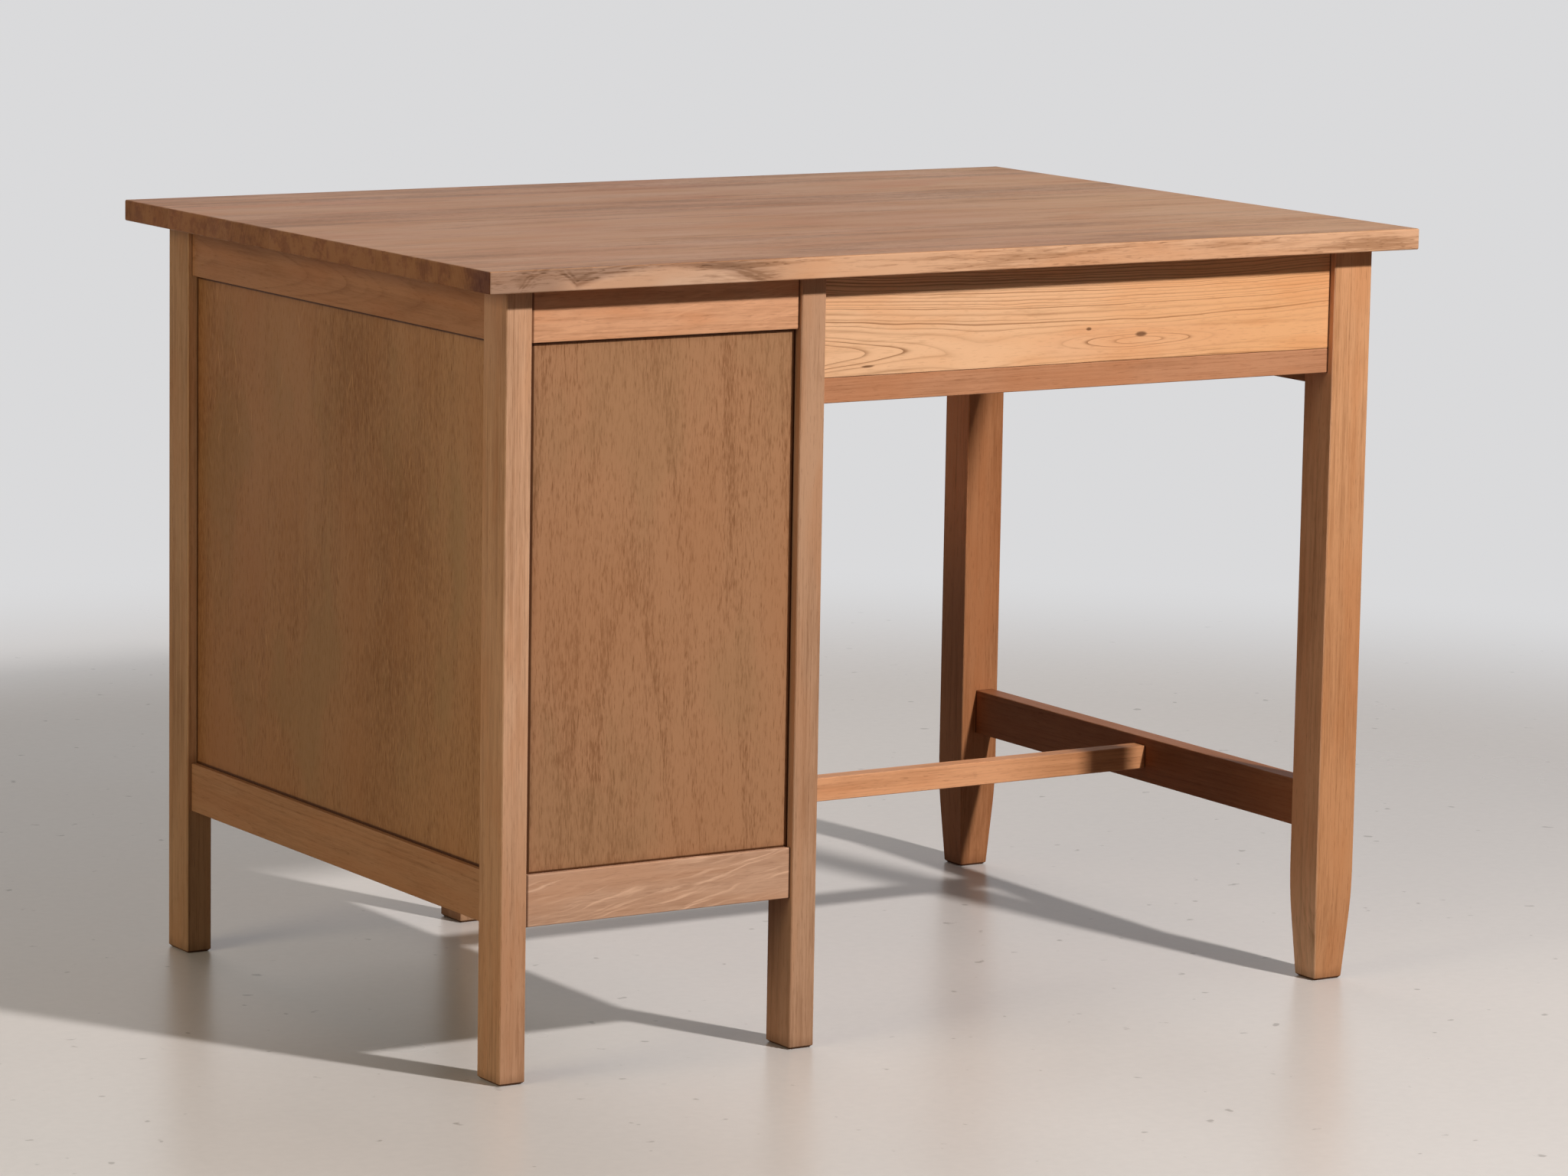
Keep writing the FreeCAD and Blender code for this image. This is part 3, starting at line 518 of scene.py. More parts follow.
def curl(board, amount):
    """Pale waves across the grain, slanted."""
    along, across = board.place[0], wide_place(board)
    slanted = (along + across * CURL_SLANT) / (15 * MM)
    wave = board.joined(slanted + board.seed, (across - along * 0.15) / (26 * MM))
    return (board.noise(wave) - 0.5) * amount


print("slants of curl and rays:", CURL_SLANT, RAY_SLANT)

# %% [markdown]
# ## Rails of the pedestal
#
# The rails were cut from several boards: the upper one at the back is the most orange, and the lower one
# is greyer and full of rays. One function finishes them all. It asks for the two pieces that a rail
# stands between, its wood, and where the heart of its log was.

# %% Rails of the pedestal
ORANGE_OAK = (0.618, 0.314, 0.175)
GREY_OAK = (0.515, 0.300, 0.196)
SIDE_OAK = (0.370, 0.170, 0.080)
LOWER_SIDE_OAK = (0.408, 0.200, 0.096)
FRONT_OAK = (0.520, 0.265, 0.140)
back_ends = ("pedestal_stile_back_inner", "pedestal_stile_back_outer")
front_ends = ("pedestal_stile_front_inner", "pedestal_stile_front_outer")
outer_ends = ("pedestal_stile_front_outer", "pedestal_stile_back_outer")
inner_ends = ("pedestal_stile_front_inner", "pedestal_stile_back_inner")


def rail(node, grain, ends, colour, seed, heart, rings=None, curled=0.0, rays=0.0, extra=0.0,
         end_tone=None, **looks):
    board = Board(node, grain, seed, colour)
    # Painted shade that darkens the rail toward its lower end along the grain.
    if end_tone:
        looks["tones"] = [(board.step(board.place[0], -0.10, -0.20), end_tone)]
    if rays:
        looks["rays"] = pale_rays(board, rays)
    lines = log_rings(board, heart, **(rings or {}))
    if curled:
        lines = lines - curl(board, curled)
    return oiled(board, lines, grime=shoulder_lines(board, *ends, extra), **looks)


dress("back_top_rail", rail, "X", back_ends, ORANGE_OAK, 11.0, (-0.10, 0.05), curled=0.9, rays=0.3,
      extra=2.5 * MM, warmth=0.7, contrast=0.5, streaks=1.5, pores=0.5)
dress("back_bottom_rail", rail, "X", back_ends, GREY_OAK, 12.0, (-0.055, -0.012), curled=0.7, rays=1.0,
      extra=2.5 * MM, rings={"spacing": 4.2 * MM}, contrast=0.4, pores=0.4)
dress("outer_side_top_rail", rail, "Y", outer_ends, SIDE_OAK, 13.0, (-0.02, 0.0),
      rings={"taper": 0.075, "spacing": 5 * MM}, contrast=0.6)
dress("outer_side_bottom_rail", rail, "Y", outer_ends, LOWER_SIDE_OAK, 14.0, (-0.06, -0.02))
dress("inner_side_top_rail", rail, "Y", inner_ends, SIDE_OAK, 15.0, (0.08, 0.03))
dress("inner_side_bottom_rail", rail, "Y", inner_ends, SIDE_OAK, 16.0, (0.07, -0.02))

front_rails = ["pedestal_front_top_rail", "drawer_divider_1", "drawer_divider_2", "drawer_divider_3",
               "pedestal_front_bottom_rail"]
for number, node in enumerate(front_rails):
    dress(node, rail, "X", front_ends, FRONT_OAK, 17.0 + number, (0.06, -0.09 + 0.03 * number))
print("pedestal rails:", 6 + len(front_rails))

# %% [markdown]
# ## Borders and scratches of the panels
#
# Each panel stands in grooves, so the frame hides its edge. The frame also shades the recessed panel, so
# a painted shade line runs round what is seen, with patchy dust beside it. Fine scratches cross the face
# at two slants: each is a noise that is stretched along its slant.

# %% Borders and scratches
PANEL_LIP = 7 * MM


def border_shade_and_dust(board, width, extra=0.0):
    """A painted shade line round what is seen of the panel, wider by extra on one side, and patchy dust."""
    gaps = [half - PANEL_LIP - abs(part) for half, part in zip(board.half, board.place) if half > PANEL_LIP]
    gap = board.sum("MINIMUM", gaps[0], gaps[1])
    if extra:
        gap = board.sum("MINIMUM", gap, board.half[1] - PANEL_LIP - extra - board.place[1])
    dusty = board.grain(0.05, 14 * MM, 21)
    dust = board.step(gap + (dusty - 0.5) * 12 * MM, 9 * MM, 0.0)
    return board.step(gap, width, width / 2) * 0.8 + dust * 0.22


def scratches(board, amount):
    """Fine pale scratches and small pale marks that don't follow the grain."""
    along, across = board.place[0], board.place[1] + board.place[2]
    marks = 0.0
    for slant, salt in ((0.35, 31), (-0.22, 32)):
        line = board.joined((along + across * slant) / 0.05 + salt, (across - along * slant) / (4.5 * MM))
        marks = marks + board.step(board.noise(line), 0.63, 0.74)
    where = board.step(board.grain(0.12, 0.09, 33), 0.46, 0.62)
    return board.sum("MINIMUM", marks, 1.0) * where * amount


print("a panel stands in its grooves by", PANEL_LIP / MM, "mm")

# %% [markdown]
# ## Plywood panels
#
# The three panels are oak-faced plywood. Their face veneer was peeled or sliced thin, so it has almost no
# ring lines: what shows is a rain of short fine pores along the grain, slow clouds of olive and pink, and a
# faint arch.

# %% Panels
BACK_PANEL_OAK = (0.366, 0.180, 0.091)
SIDE_PANEL_OAK = (0.350, 0.168, 0.072)
SIDE_PANEL_TONES = [(0.0, 0.28, (1.18, 1.22, 1.25)), (0.0, -0.28, (0.97, 0.90, 0.83))]


def veneer(node, colour, seed, heart, scratched, border, strength, extra=0.0, patchy=1.0, arched=0.3,
           tones=()):
    board = Board(node, "Z", seed, colour)
    arch = log_rings(board, heart, spacing=26 * MM, taper=0.055, wander=14 * MM)
    fibre = board.grain(14 * MM, 1.5 * MM, 22, detail=3.0, rough=0.65)
    dash = board.grain(9 * MM, 1.3 * MM, 23)
    cloud = board.grain(0.24, 0.13, 24, detail=4.0)
    tint = board.grain(0.20, 0.10, 25, detail=3.0)
    streak = board.grain(0.25, 7 * MM, 26)
    dark = board.step(dash, 0.52, 0.70)
    depth = (fibre - 0.5) * 1.5 + (streak - 0.5) * 0.5 + dark * 0.4 - board.step(dash, 0.46, 0.30) * 0.55
    depth = 0.25 + depth * strength + (cloud - 0.5) * (1.9 * patchy) + (arch - 0.25) * arched
    face = board.stain(board.wood(depth), "warm", board.step(tint, 0.46, 0.66) * (0.35 * patchy))
    face = board.stain(face, "olive", board.step(tint, 0.48, 0.34) * (0.5 * patchy))
    for low, high, tone in tones:
        face = board.tint(board.step(board.place[2], low, high), face, tone)
    marks = scratches(board, scratched)
    face = board.stain(face, "ray", marks)
    # Painted shade round the recessed panel, with dust, in the grime shade.
    face = board.stain(face, "grime", border_shade_and_dust(board, border, extra))
    relief = fibre * 0.5 - dark * 0.7 - marks * 0.3
    roughness = 0.46 + (cloud - 0.5) * 0.25 + dark * 0.1
    return board.close(board.shader(relief, 0.3, 0.2 * MM, Base_Color=face, Roughness=roughness,
                                    Specular_IOR_Level=0.1))


dress("back_panel", veneer, BACK_PANEL_OAK, 41.0, (0.03, -0.09), scratched=0.15, border=2.6 * MM,
      strength=1.6, extra=6 * MM, patchy=0.55, arched=0.8)
dress("outer_side_panel", veneer, SIDE_PANEL_OAK, 42.0, (-0.12, 0.10), scratched=0.8, border=3.6 * MM,
      strength=1.35, tones=SIDE_PANEL_TONES)
dress("inner_side_panel", veneer, SIDE_PANEL_OAK, 43.0, (0.12, -0.08), scratched=0.2, border=3.0 * MM,
      strength=0.9)
print("panels: 3")

# %% [markdown]
# ## The board behind the kneehole
#
# This is the board that one remembers of the desk: pale, with strong lines that run straight along its
# upper half, close into arches at the pedestal end, and part round a small dark knot like water round a
# stone. One sum gives all of it. The ring number is the distance from a line along the board, which makes
# pairs of lines that mirror each other. A slow parabola along the board closes them into arches, a dip
# about the knot turns them round it, and a bend further along makes them sway.

# %% The board with the knots
KNEE_OAK = (0.738, 0.432, 0.250)
KNEE_FAR_TINT = (0.955, 0.84, 0.70)
FIGURE_HEIGHT = 0.653
FIGURE_DEPTH = 24 * MM
RING_WIDTH = 2.75 * MM
RINGS_CLOSED = 3.3
CLOSED_OVER = 0.356
RINGS_ROUND_KNOT = 2.7
EYE, EYE_SIZE = (-0.214, 0.651), (0.098, 0.0145)
EYE_TINT = (0.98, 0.96, 0.97)
SWAY, SWAY_SIZE = (-0.030, 0.645), (0.040, 0.020)
SWAY_DEPTH = 13 * MM
KNOTS = {(-0.2155, 0.6575): (6.5 * MM, 2.6 * MM), (-0.1545, 0.6650): (3.0 * MM, 1.6 * MM),
         (0.0950, 0.6405): (7.0 * MM, 1.1 * MM)}


def oval(x, z, centre, size):
    """Squared distance from a centre, in half sizes of an oval."""
    across, up = (x - centre[0]) / size[0], (z - centre[1]) / size[1]
    return across * across + up * up


def knotted_board(node, seed):
    board = Board(node, "X", seed, KNEE_OAK)
    bend = board.parts(board.grain(0.13, 0.035, 1, detail=1.5, colour=True))
    ripple = board.grain(0.035, 9 * MM, 2, detail=1.0)
    x = board.place[0] + board.middle[0]
    z = board.place[2] + board.middle[2] + (bend[0] - 0.5) * 7 * MM + (ripple - 0.5) * 1.2 * MM
    z = z + board.sum("EXPONENT", oval(x, z, SWAY, SWAY_SIZE) * -1) * SWAY_DEPTH
    away = z - FIGURE_HEIGHT
    closing = (x - EYE[0]) / CLOSED_OVER
    dip = board.sum("EXPONENT", oval(x, z, EYE, EYE_SIZE) * -1)
    years = (away * away + FIGURE_DEPTH ** 2) ** 0.5 / RING_WIDTH - closing * closing * RINGS_CLOSED
    lines = ring_lines(board, years - dip * RINGS_ROUND_KNOT + (bend[1] - 0.5) * 0.8, 1.0)
    lines = lines ** (board.step(abs(away), FIGURE_DEPTH, 0.0) * 0.8 + 0.9)

    knots = 0.0
    for centre, size in KNOTS.items():
        knots = knots + board.step(oval(x, z, centre, size), 1.6, 0.3)
    far = board.step(x, 0.05, -0.40)
    seam = board.step(board.half[2] + board.place[2], 1.4 * MM, 0.4 * MM) * 0.75
    grime = shoulder_lines(board, "tapered_leg_back", "pedestal_stile_back_inner")
    lines = board.step(lines, 0.0, 1.0) * (1 - far * 0.4)
    tones = [(far, KNEE_FAR_TINT), (board.step(dip, 0.12, 0.32), EYE_TINT)]
    return oiled(board, lines, contrast=1.3, streaks=1.7, clouds=0.8, pores=0.6, warmth=0.5,
                 grime=grime + knots * 0.85 + seam, ink=1.0, tones=tones)


dress("knee_back_board", knotted_board, 51.0)
print("knots:", len(KNOTS))

# %% [markdown]
# ## Kneehole rails and stretchers
#
# The rail under the board is redder than the board, and the rails on the sitter's side match the pedestal's
# front. The middle stretcher is the warmest timber of the desk and the end stretcher the darkest, nearly
# the brown of the panels, so each gets its own mean colour.

# %% Kneehole rails, apron and stretchers
KNEE_RAIL_OAK = (0.470, 0.218, 0.116)
APRON_OAK = (0.430, 0.215, 0.110)
MIDDLE_OAK = (0.690, 0.334, 0.172)
# Painted shade on the middle stretcher's end beside the end stretcher, where the back leg shades it.
MIDDLE_END_SHADE = (0.80, 0.76, 0.70)
BROWN_OAK = (0.330, 0.130, 0.058)
knee_ends = ("tapered_leg_back", "pedestal_stile_back_inner")
knee_front_ends = ("tapered_leg_front", "pedestal_stile_front_inner")
leg_ends = ("tapered_leg_front", "tapered_leg_back")

dress("knee_back_rail", rail, "X", knee_ends, KNEE_RAIL_OAK, 52.0, (0.05, -0.10), curled=0.4)
dress("knee_front_top_rail", rail, "X", knee_front_ends, FRONT_OAK, 53.0, (0.05, -0.08))
dress("knee_front_bottom_rail", rail, "X", knee_front_ends, FRONT_OAK, 54.0, (0.06, 0.09))
dress("knee_end_apron", rail, "Y", leg_ends, APRON_OAK, 55.0, (0.05, 0.02), rings={"spacing": 4.0 * MM})
dress("end_stretcher", rail, "Y", leg_ends, BROWN_OAK, 56.0, (0.08, 0.05))
dress("middle_stretcher", rail, "X", ("end_stretcher", "inner_side_bottom_rail"), MIDDLE_OAK, 57.0,
      (0.09, 0.06), end_tone=MIDDLE_END_SHADE, contrast=0.35)
print("kneehole rails and stretchers: 6")

# %% [markdown]
# ## The flame in the top's edge
#
# The back edge of the top shows a flame near the pedestal corner: a large and a small arch of dark rings
# that rise through the edge, with paler wood inside the large one. They are drawn by their height over a
# parabola along the edge, and fade out on the upper face.

# %% The flame
FLAME_ARCHES = ((0.336, 0.108), (0.457, 0.031))
LARGE_ARCH_END = (0.46, 0.42)
FLAME_HEIGHT = 21 * MM
FLAME_REACH = 14 * MM
FLAME_LINES = {0.0: 0.75, 4.2 * MM: 0.30, 8.5 * MM: 0.2, -4.5 * MM: 0.40}


def flame(board):
    """Dark rings that arch through the back edge, and the paler wood inside the large arch."""
    inward = board.half[1] - board.place[1]
    wave = board.grain(0.05, 7 * MM, 61)
    broken = board.step(board.grain(0.03, 3 * MM, 65), 0.36, 0.58)
    along = [(board.place[0] - middle) / half_length for middle, half_length in FLAME_ARCHES]
    fall = board.sum("MINIMUM", along[0] * along[0], along[1] * along[1])
    height = board.place[2] - board.half[2] + fall * FLAME_HEIGHT + inward * 0.7 + (wave - 0.5) * 7 * MM
    near = board.step(inward, FLAME_REACH, FLAME_REACH / 3) * board.step(fall, 1.6, 0.9)
    rings = 0.0
    for below, strength in FLAME_LINES.items():
        rings = rings + board.step(abs(height + below), 3.0 * MM, 0.2 * MM) * strength
    rings = rings * (broken * 0.6 + 0.4) + board.step(height, 0.0, 6 * MM) * 0.3
    pale = board.step(height, 1 * MM, -6 * MM) * near * board.step(board.place[0], *LARGE_ARCH_END)
    return rings * near, pale


print("arches:", len(FLAME_ARCHES), "with", len(FLAME_LINES), "dark lines")

# %% [markdown]
# ## The top
#
# The top is seven boards glued edge to edge, in one node. The shader counts how many glue lines lie between
# a point and the front edge, and that number serves as the board's seed, so each board gets its own heart
# of the log, tone and warmth. Tones for the edge and the ends come last, with a painted sheen that makes
# the far half of the upper face paler.

# %% The top
TOP_OAK = (0.452, 0.215, 0.102)
TOP_EDGE_TINT = (1.36, 1.62, 2.05)
TOP_END_TINT = (0.74, 0.67, 0.71)
TOP_CORNER_TINT = (0.50, 0.42, 0.50)
TOP_RED_TINT = (0.98, 0.88, 0.84)
TOP_SHEEN_TINT = (1.17, 1.27, 1.31)
TOP_LEFT_EDGE_TINT = (0.58, 0.60, 0.67)
TOP_FLAME_TINT = (1.06, 1.14, 1.24)
TOP_BOARD_SHARES = (0.13, 0.15, 0.14, 0.16, 0.13, 0.16, 0.13)


def glued_boards(board):
    """The number of the board that a point is on, and the distance from the nearest glue line."""
    low = -board.half[1]
    number, gap = 0.0, board.half[1]
    for share in TOP_BOARD_SHARES[:-1]:
        low += 2 * board.half[1] * share
        number = number + board.sum("GREATER_THAN", board.place[1], low)
        gap = board.sum("MINIMUM", gap, abs(board.place[1] - low))
    return number, gap


def top_finish(node, seed):
    board = Board(node, "X", seed, TOP_OAK)
    number, gap = glued_boards(board)
    board.seed = number * 3.71 + seed
    heart = ((board.chance(1) - 0.5) * 0.16, -0.035 - board.chance(2) * 0.07)
    lines = log_rings(board, heart, spacing=4.0 * MM, taper=0.016, wander=7 * MM)
    rings, inside = flame(board)
    band = board.grain(0.30, 26 * MM, 63, detail=4.0, rough=0.6) - 0.5
    lines = lines * (1 - inside * 0.6) - (board.chance(3) - 0.5) * 1.2 + band * 3.4
    lines = lines - inside * 0.3 + rings * 2.0

    edge = board.step(abs(board.facing(1)), 0.5, 0.9)
    flamed = edge * board.step(board.place[0], 0.16, 0.30) * (1 - inside * 0.65)
    dirty = board.step(board.grain(0.05, 24 * MM, 62, detail=5.0, rough=0.7), 0.46, 0.60)
    corner = board.step(board.place[1], board.half[1] - 55 * MM, board.half[1] - 15 * MM)
    reddish = board.step(board.grain(0.22, 60 * MM, 64, detail=3.0), 0.48, 0.66)
    reddish = reddish * board.step(board.chance(5), 0.3, 0.6)
    # Painted sheen: the far half of the upper face is made paler, where the light grazes it.
    painted_sheen = board.step(board.place[0], -0.05, -0.45) * (1 - edge)
    tones = [(edge, TOP_EDGE_TINT), (flamed, TOP_LEFT_EDGE_TINT), (inside, TOP_FLAME_TINT),
             (dirty * board.end_grain(), TOP_END_TINT), (corner * board.end_grain(), TOP_CORNER_TINT),
             (reddish, TOP_RED_TINT), (painted_sheen, TOP_SHEEN_TINT)]
    return oiled(board, lines, contrast=0.9, streaks=2.9, clouds=1.8, pores=0.9, warmth=0.6,
                 grime=board.step(gap, 0.5 * MM, 0.1 * MM) * 0.35, rough=0.42, tones=tones)


dress("desk_top", top_finish, 61.0)
print("boards in the top:", len(TOP_BOARD_SHARES))

# %% [markdown]
# ## Drawer fronts
#
# The fronts face the sitter, on the side that the photograph doesn't show. They are solid oak, with the
# grain across the desk. Each comes from its own place in the log, so some show arches and others lines.

# %% Drawer fronts
DRAWER_OAK = (0.600, 0.318, 0.168)
drawers = ["drawer_1", "drawer_2", "drawer_3", "drawer_4", "knee_drawer"]


def drawer_front(node, seed):
    board = Board(node, "X", seed, DRAWER_OAK)
    heart = (0.03 + 0.04 * board.chance(1), (board.chance(2) - 0.5) * 0.14)
    lines = log_rings(board, heart, spacing=3.6 * MM, taper=0.022, wander=6 * MM)
    handled = board.step(board.grain(0.2, 0.08, 71, detail=1.0), 0.50, 0.62) * 0.06
    return oiled(board, lines, contrast=0.55, streaks=0.7, clouds=0.6, pores=0.4, grime=handled)


for number, drawer in enumerate(drawers):
    dress(drawer + "_front", drawer_front, 71.0 + number)
print("drawer fronts:", len(drawers))

# %% [markdown]
# ## Drawer boxes in beech
#
# Beech shows hardly any ring lines. It is a pale pinkish tan, full of short brown flecks, and drier than
# the oak, because nobody oils the inside of a desk. The two sides of a drawer share a node, and so do all
# ten runners, so there the shader makes the seed from where a piece lies: its place along one axis,
# counted in steps of about the pieces' spacing.

# %% Beech
BEECH = (0.600, 0.395, 0.245)
WORN_BEECH = (0.520, 0.325, 0.190)


def beech(node, grain, seed, colour, pieces_apart=None):
    board = Board(node, grain, seed, colour)
    if pieces_apart:
        across, spacing = pieces_apart
        board.seed = board.sum("FLOOR", board.place[across] / spacing + 0.5) * 2.3 + seed
    lines = log_rings(board, (0.07, -0.05), spacing=4.5 * MM, wander=8 * MM)
    flecks = board.step(board.grain(3.2 * MM, 0.7 * MM, 81, detail=0.0), 0.63, 0.74)
    fibre = board.grain(40 * MM, 1.2 * MM, 82)
    cloud = board.grain(0.14, 0.03, 83)
    depth = 0.2 + lines * 0.16 + (fibre - 0.5) * 0.6 + (cloud - 0.5) * 0.6
    face = board.wood(depth + (board.chance(4) - 0.5) * 0.25)
    face = board.stain(face, "pore", flecks * 0.35)
    face = board.stain(face, "end", board.end_grain() * 0.8)
    face = board.stain(face, "worn", board.step(board.corner_distance(), 1.2 * MM, 0.2 * MM) * 0.3)
    return board.close(board.shader(fibre - flecks, 0.25, 0.15 * MM, Base_Color=face,
                                    Roughness=0.62 + (cloud - 0.5) * 0.2, Specular_IOR_Level=0.3))


for number, drawer in enumerate(drawers):
    dress(drawer + "_sides", beech, "Y", 81.0 + number, BEECH, pieces_apart=(1, 0.2))
    dress(drawer + "_back", beech, "X", 91.0 + number, BEECH)
running_gear = {"drawer_runners": ("Y", 2, 0.05), "drawer_guides": ("Y", 2, 0.05),
                "drawer_stops": ("X", 2, 0.05), "top_kickers": ("Y", 1, 0.1), "top_buttons": ("X", 0, 0.1)}
for number, (node, (grain, *apart)) in enumerate(running_gear.items()):
    dress(node, beech, grain, 101.0 + number, WORN_BEECH, pieces_apart=apart)
print("beech nodes:", 2 * len(drawers) + len(running_gear))

# %% [markdown]
# ## Plywood drawer bottoms
#
# A bottom is a sheet of thin plywood. Its faces show wide wavy bands, as the veneer was peeled off a
# turning log, and its edge shows three plies, of which the middle one is darker: it runs the other way, so
# its end grain shows.

# %% Drawer bottoms
BIRCH = (0.640, 0.455, 0.290)
DRAWER_PLIES = 3


def plywood(node, seed):
    board = Board(node, "X", seed, BIRCH)
    bands = log_rings(board, (0.0, -0.03), spacing=22 * MM, taper=0.05, wander=18 * MM)
    fibre = board.grain(30 * MM, 1.4 * MM, 111)
    cloud = board.grain(0.12, 0.05, 112, detail=3.0)
    middle_ply = board.step(abs(board.place[2] / board.half[2]) * (DRAWER_PLIES / 2), 0.56, 0.46)
    face = board.wood(0.16 + bands * 0.22 + (fibre - 0.5) * 0.55 + (cloud - 0.5) * 0.6)
    face = board.stain(face, "end", board.step(abs(board.facing(2)), 0.7, 0.4) * middle_ply * 0.8)
    return board.close(board.shader(fibre, 0.2, 0.15 * MM, Base_Color=face,
                                    Roughness=0.58 + (cloud - 0.5) * 0.2, Specular_IOR_Level=0.3))


for number, drawer in enumerate(drawers):
    dress(drawer + "_bottom", plywood, 111.0 + number)
print("plies in a drawer bottom:", DRAWER_PLIES)

# %% [markdown]
# ## The outline of a knob
#
# A knob is turned on a lathe from one stick of oak, spigot included, so it is half an outline spun round an
# axis. The outline is a few arcs: a hollow neck, a round rim and a shallow dome.

# %% Knob outline
KNOB_PROJECTION = 24.0 * MM
KNOB_RADIUS = 15.5 * MM
SPIGOT_RADIUS, SPIGOT_LENGTH = 5.5 * MM, 14.0 * MM
COLLAR_RADIUS, COLLAR_HEIGHT = 9.0 * MM, 1.8 * MM
NECK = (6.8 * MM, 6.4 * MM)
UNDER_RIM = (12.8 * MM, 12.2 * MM)
RIM = (KNOB_RADIUS, 16.0 * MM)
SHOULDER_RADIUS, DOME_RADIUS = 13.4 * MM, 23.0 * MM


def arc(start, through, end, steps):
    """Points on the circle from start by way of through to end, each as radius and place along the axis."""
    start, through, end = (complex(*point) for point in (start, through, end))
    ratio = (end - start) / (through - start)
    middle = start + (through - start) * (ratio - abs(ratio) ** 2) / (2j * ratio.imag)
    halfway, full = (cmath.phase((point - middle) / (start - middle)) % math.tau
                     for point in (through, end))
    if halfway > full:
        full -= math.tau
    points = [middle + (start - middle) * cmath.rect(1, full * number / steps)
              for number in range(1, steps + 1)]
    return [(point.real, point.imag) for point in points]


def knob_outline():
    """Half of the knob's section, from the end of its spigot to the middle of its dome."""
    turn = math.asin(SHOULDER_RADIUS / DOME_RADIUS)
    shoulder, crown = [(DOME_RADIUS * math.sin(part), KNOB_PROJECTION - DOME_RADIUS * (1 - math.cos(part)))
                       for part in (turn, turn / 2)]
    outline = [(0.0, -SPIGOT_LENGTH), (SPIGOT_RADIUS, -SPIGOT_LENGTH), (SPIGOT_RADIUS, 0.0),
               (COLLAR_RADIUS, 0.0), (COLLAR_RADIUS, COLLAR_HEIGHT)]
    outline += arc(outline[-1], NECK, UNDER_RIM, 8)
    outline += arc(UNDER_RIM, RIM, shoulder, 8)
    outline += arc(shoulder, crown, (0.0, KNOB_PROJECTION), 7)
    return outline


print("points on the knob's outline:", len(knob_outline()))

# %% [markdown]
# ## The finish of a knob
#
# Turning cuts through the rings, so the dome shows end grain: arcs of rings, open pores, darker wood. The
# lathe leaves faint circles about the axis, and hands leave the rim darker and shinier than the rest. The
# distance from the axis gives both.

# %% Knob finish
KNOB_OAK = (0.500, 0.252, 0.128)
LATHE_MARK = 0.45 * MM


def knob_finish(node, seed, offset):
    """Oak with lathe marks, for one knob or for a pair that stands to both sides of the middle."""
    board = Board(node, "Y", seed, KNOB_OAK)
    lines = log_rings(board, (0.03, 0.02), spacing=2.4 * MM, taper=0.0, wander=1.5 * MM)
    side = abs(board.place[1]) - offset
    radius = (side * side + board.place[2] * board.place[2]) ** 0.5
    fibre = board.grain(22 * MM, 0.9 * MM, 121)
    cloud = board.grain(0.02, 0.008, 122, detail=3.0)
    pores = board.step(board.grain(5 * MM, 0.6 * MM, 123, detail=1.0), 0.56, 0.70) * (lines * 0.6 + 0.4)
    handled = board.step(radius, 9 * MM, 15 * MM) * board.step(cloud, 0.35, 0.6)
    face = board.wood(0.18 + lines * 0.4 + (fibre - 0.5) * 0.6 + (cloud - 0.5) * 0.5)
    face = board.stain(board.stain(face, "pore", pores * 0.6), "grime", handled * 0.25)
    circles = board.sum("SINE", radius / LATHE_MARK + (cloud - 0.5) * 3)
    roughness = 0.44 + (cloud - 0.5) * 0.2 - handled * 0.1
    return board.close(board.shader(circles * 0.3 - pores, 0.25, 0.12 * MM, Base_Color=face,
                                    Roughness=roughness, Specular_IOR_Level=0.45))


print("lathe marks, mm apart:", round(math.tau * LATHE_MARK / MM, 1))

# %% [markdown]
# ## Turned knobs
#
# Blender's spin operator does what the lathe does. The knee drawer's two knobs share one piece, because the
# CAD model holds them in one node. The sharp corners of the collar stay sharp, and the rest is shaded
# smooth. Each piece stands for its CAD node and rides on its drawer's body.

# %% Knobs
KNOB_STEPS = 56
SHARP_ANGLE = math.radians(50)


def turn_knob(mesh, centre):
    """Spins the outline round an axis that goes through the knob's place and points at the sitter."""
    verts = [mesh.verts.new(centre + Vector((radius, -out, 0.0))) for radius, out in knob_outline()]
    edges = [mesh.edges.new(pair) for pair in zip(verts, verts[1:])]
    bmesh.ops.spin(mesh, geom=verts + edges, cent=centre, axis=(0, 1, 0), angle=math.tau,
                   steps=KNOB_STEPS, use_merge=True)


def mesh_object(name, mesh):
    data = bpy.data.meshes.new(name)
    mesh.to_mesh(data)
    mesh.free()
    return add_object(name, data)


def finished_piece(name, mesh, body, replaced):
    """Cleans a mesh, makes it a piece that rides on a body, and lets it stand for a CAD node."""
    bmesh.ops.remove_doubles(mesh, verts=mesh.verts, dist=0.01 * MM)
    bmesh.ops.recalc_face_normals(mesh, faces=mesh.faces)
    piece = mesh_object(name, mesh)
    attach(piece, body)
    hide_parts(replaced)
    return piece


for number, drawer in enumerate(drawers):
    node = drawer + "_knob"
    middle, half = middle_and_half(node)
    offset = half.x - KNOB_RADIUS
    face_y = middle.y - half.y + KNOB_PROJECTION
    mesh = bmesh.new()
    for side in ((-1, 1) if offset > KNOB_RADIUS else (0,)):
        turn_knob(mesh, Vector((middle.x + side * offset, face_y, middle.z)))
    knobs = finished_piece(drawer + "_turned_knob", mesh, drawer + "_body", node)
    knobs.data.shade_smooth()
    knobs.data.set_sharp_from_angle(angle=SHARP_ANGLE)
    knobs.data.materials.append(knob_finish(node, 121.0 + number, max(offset, 0.0)))
    print(knobs.name, "faces:", len(knobs.data.polygons))

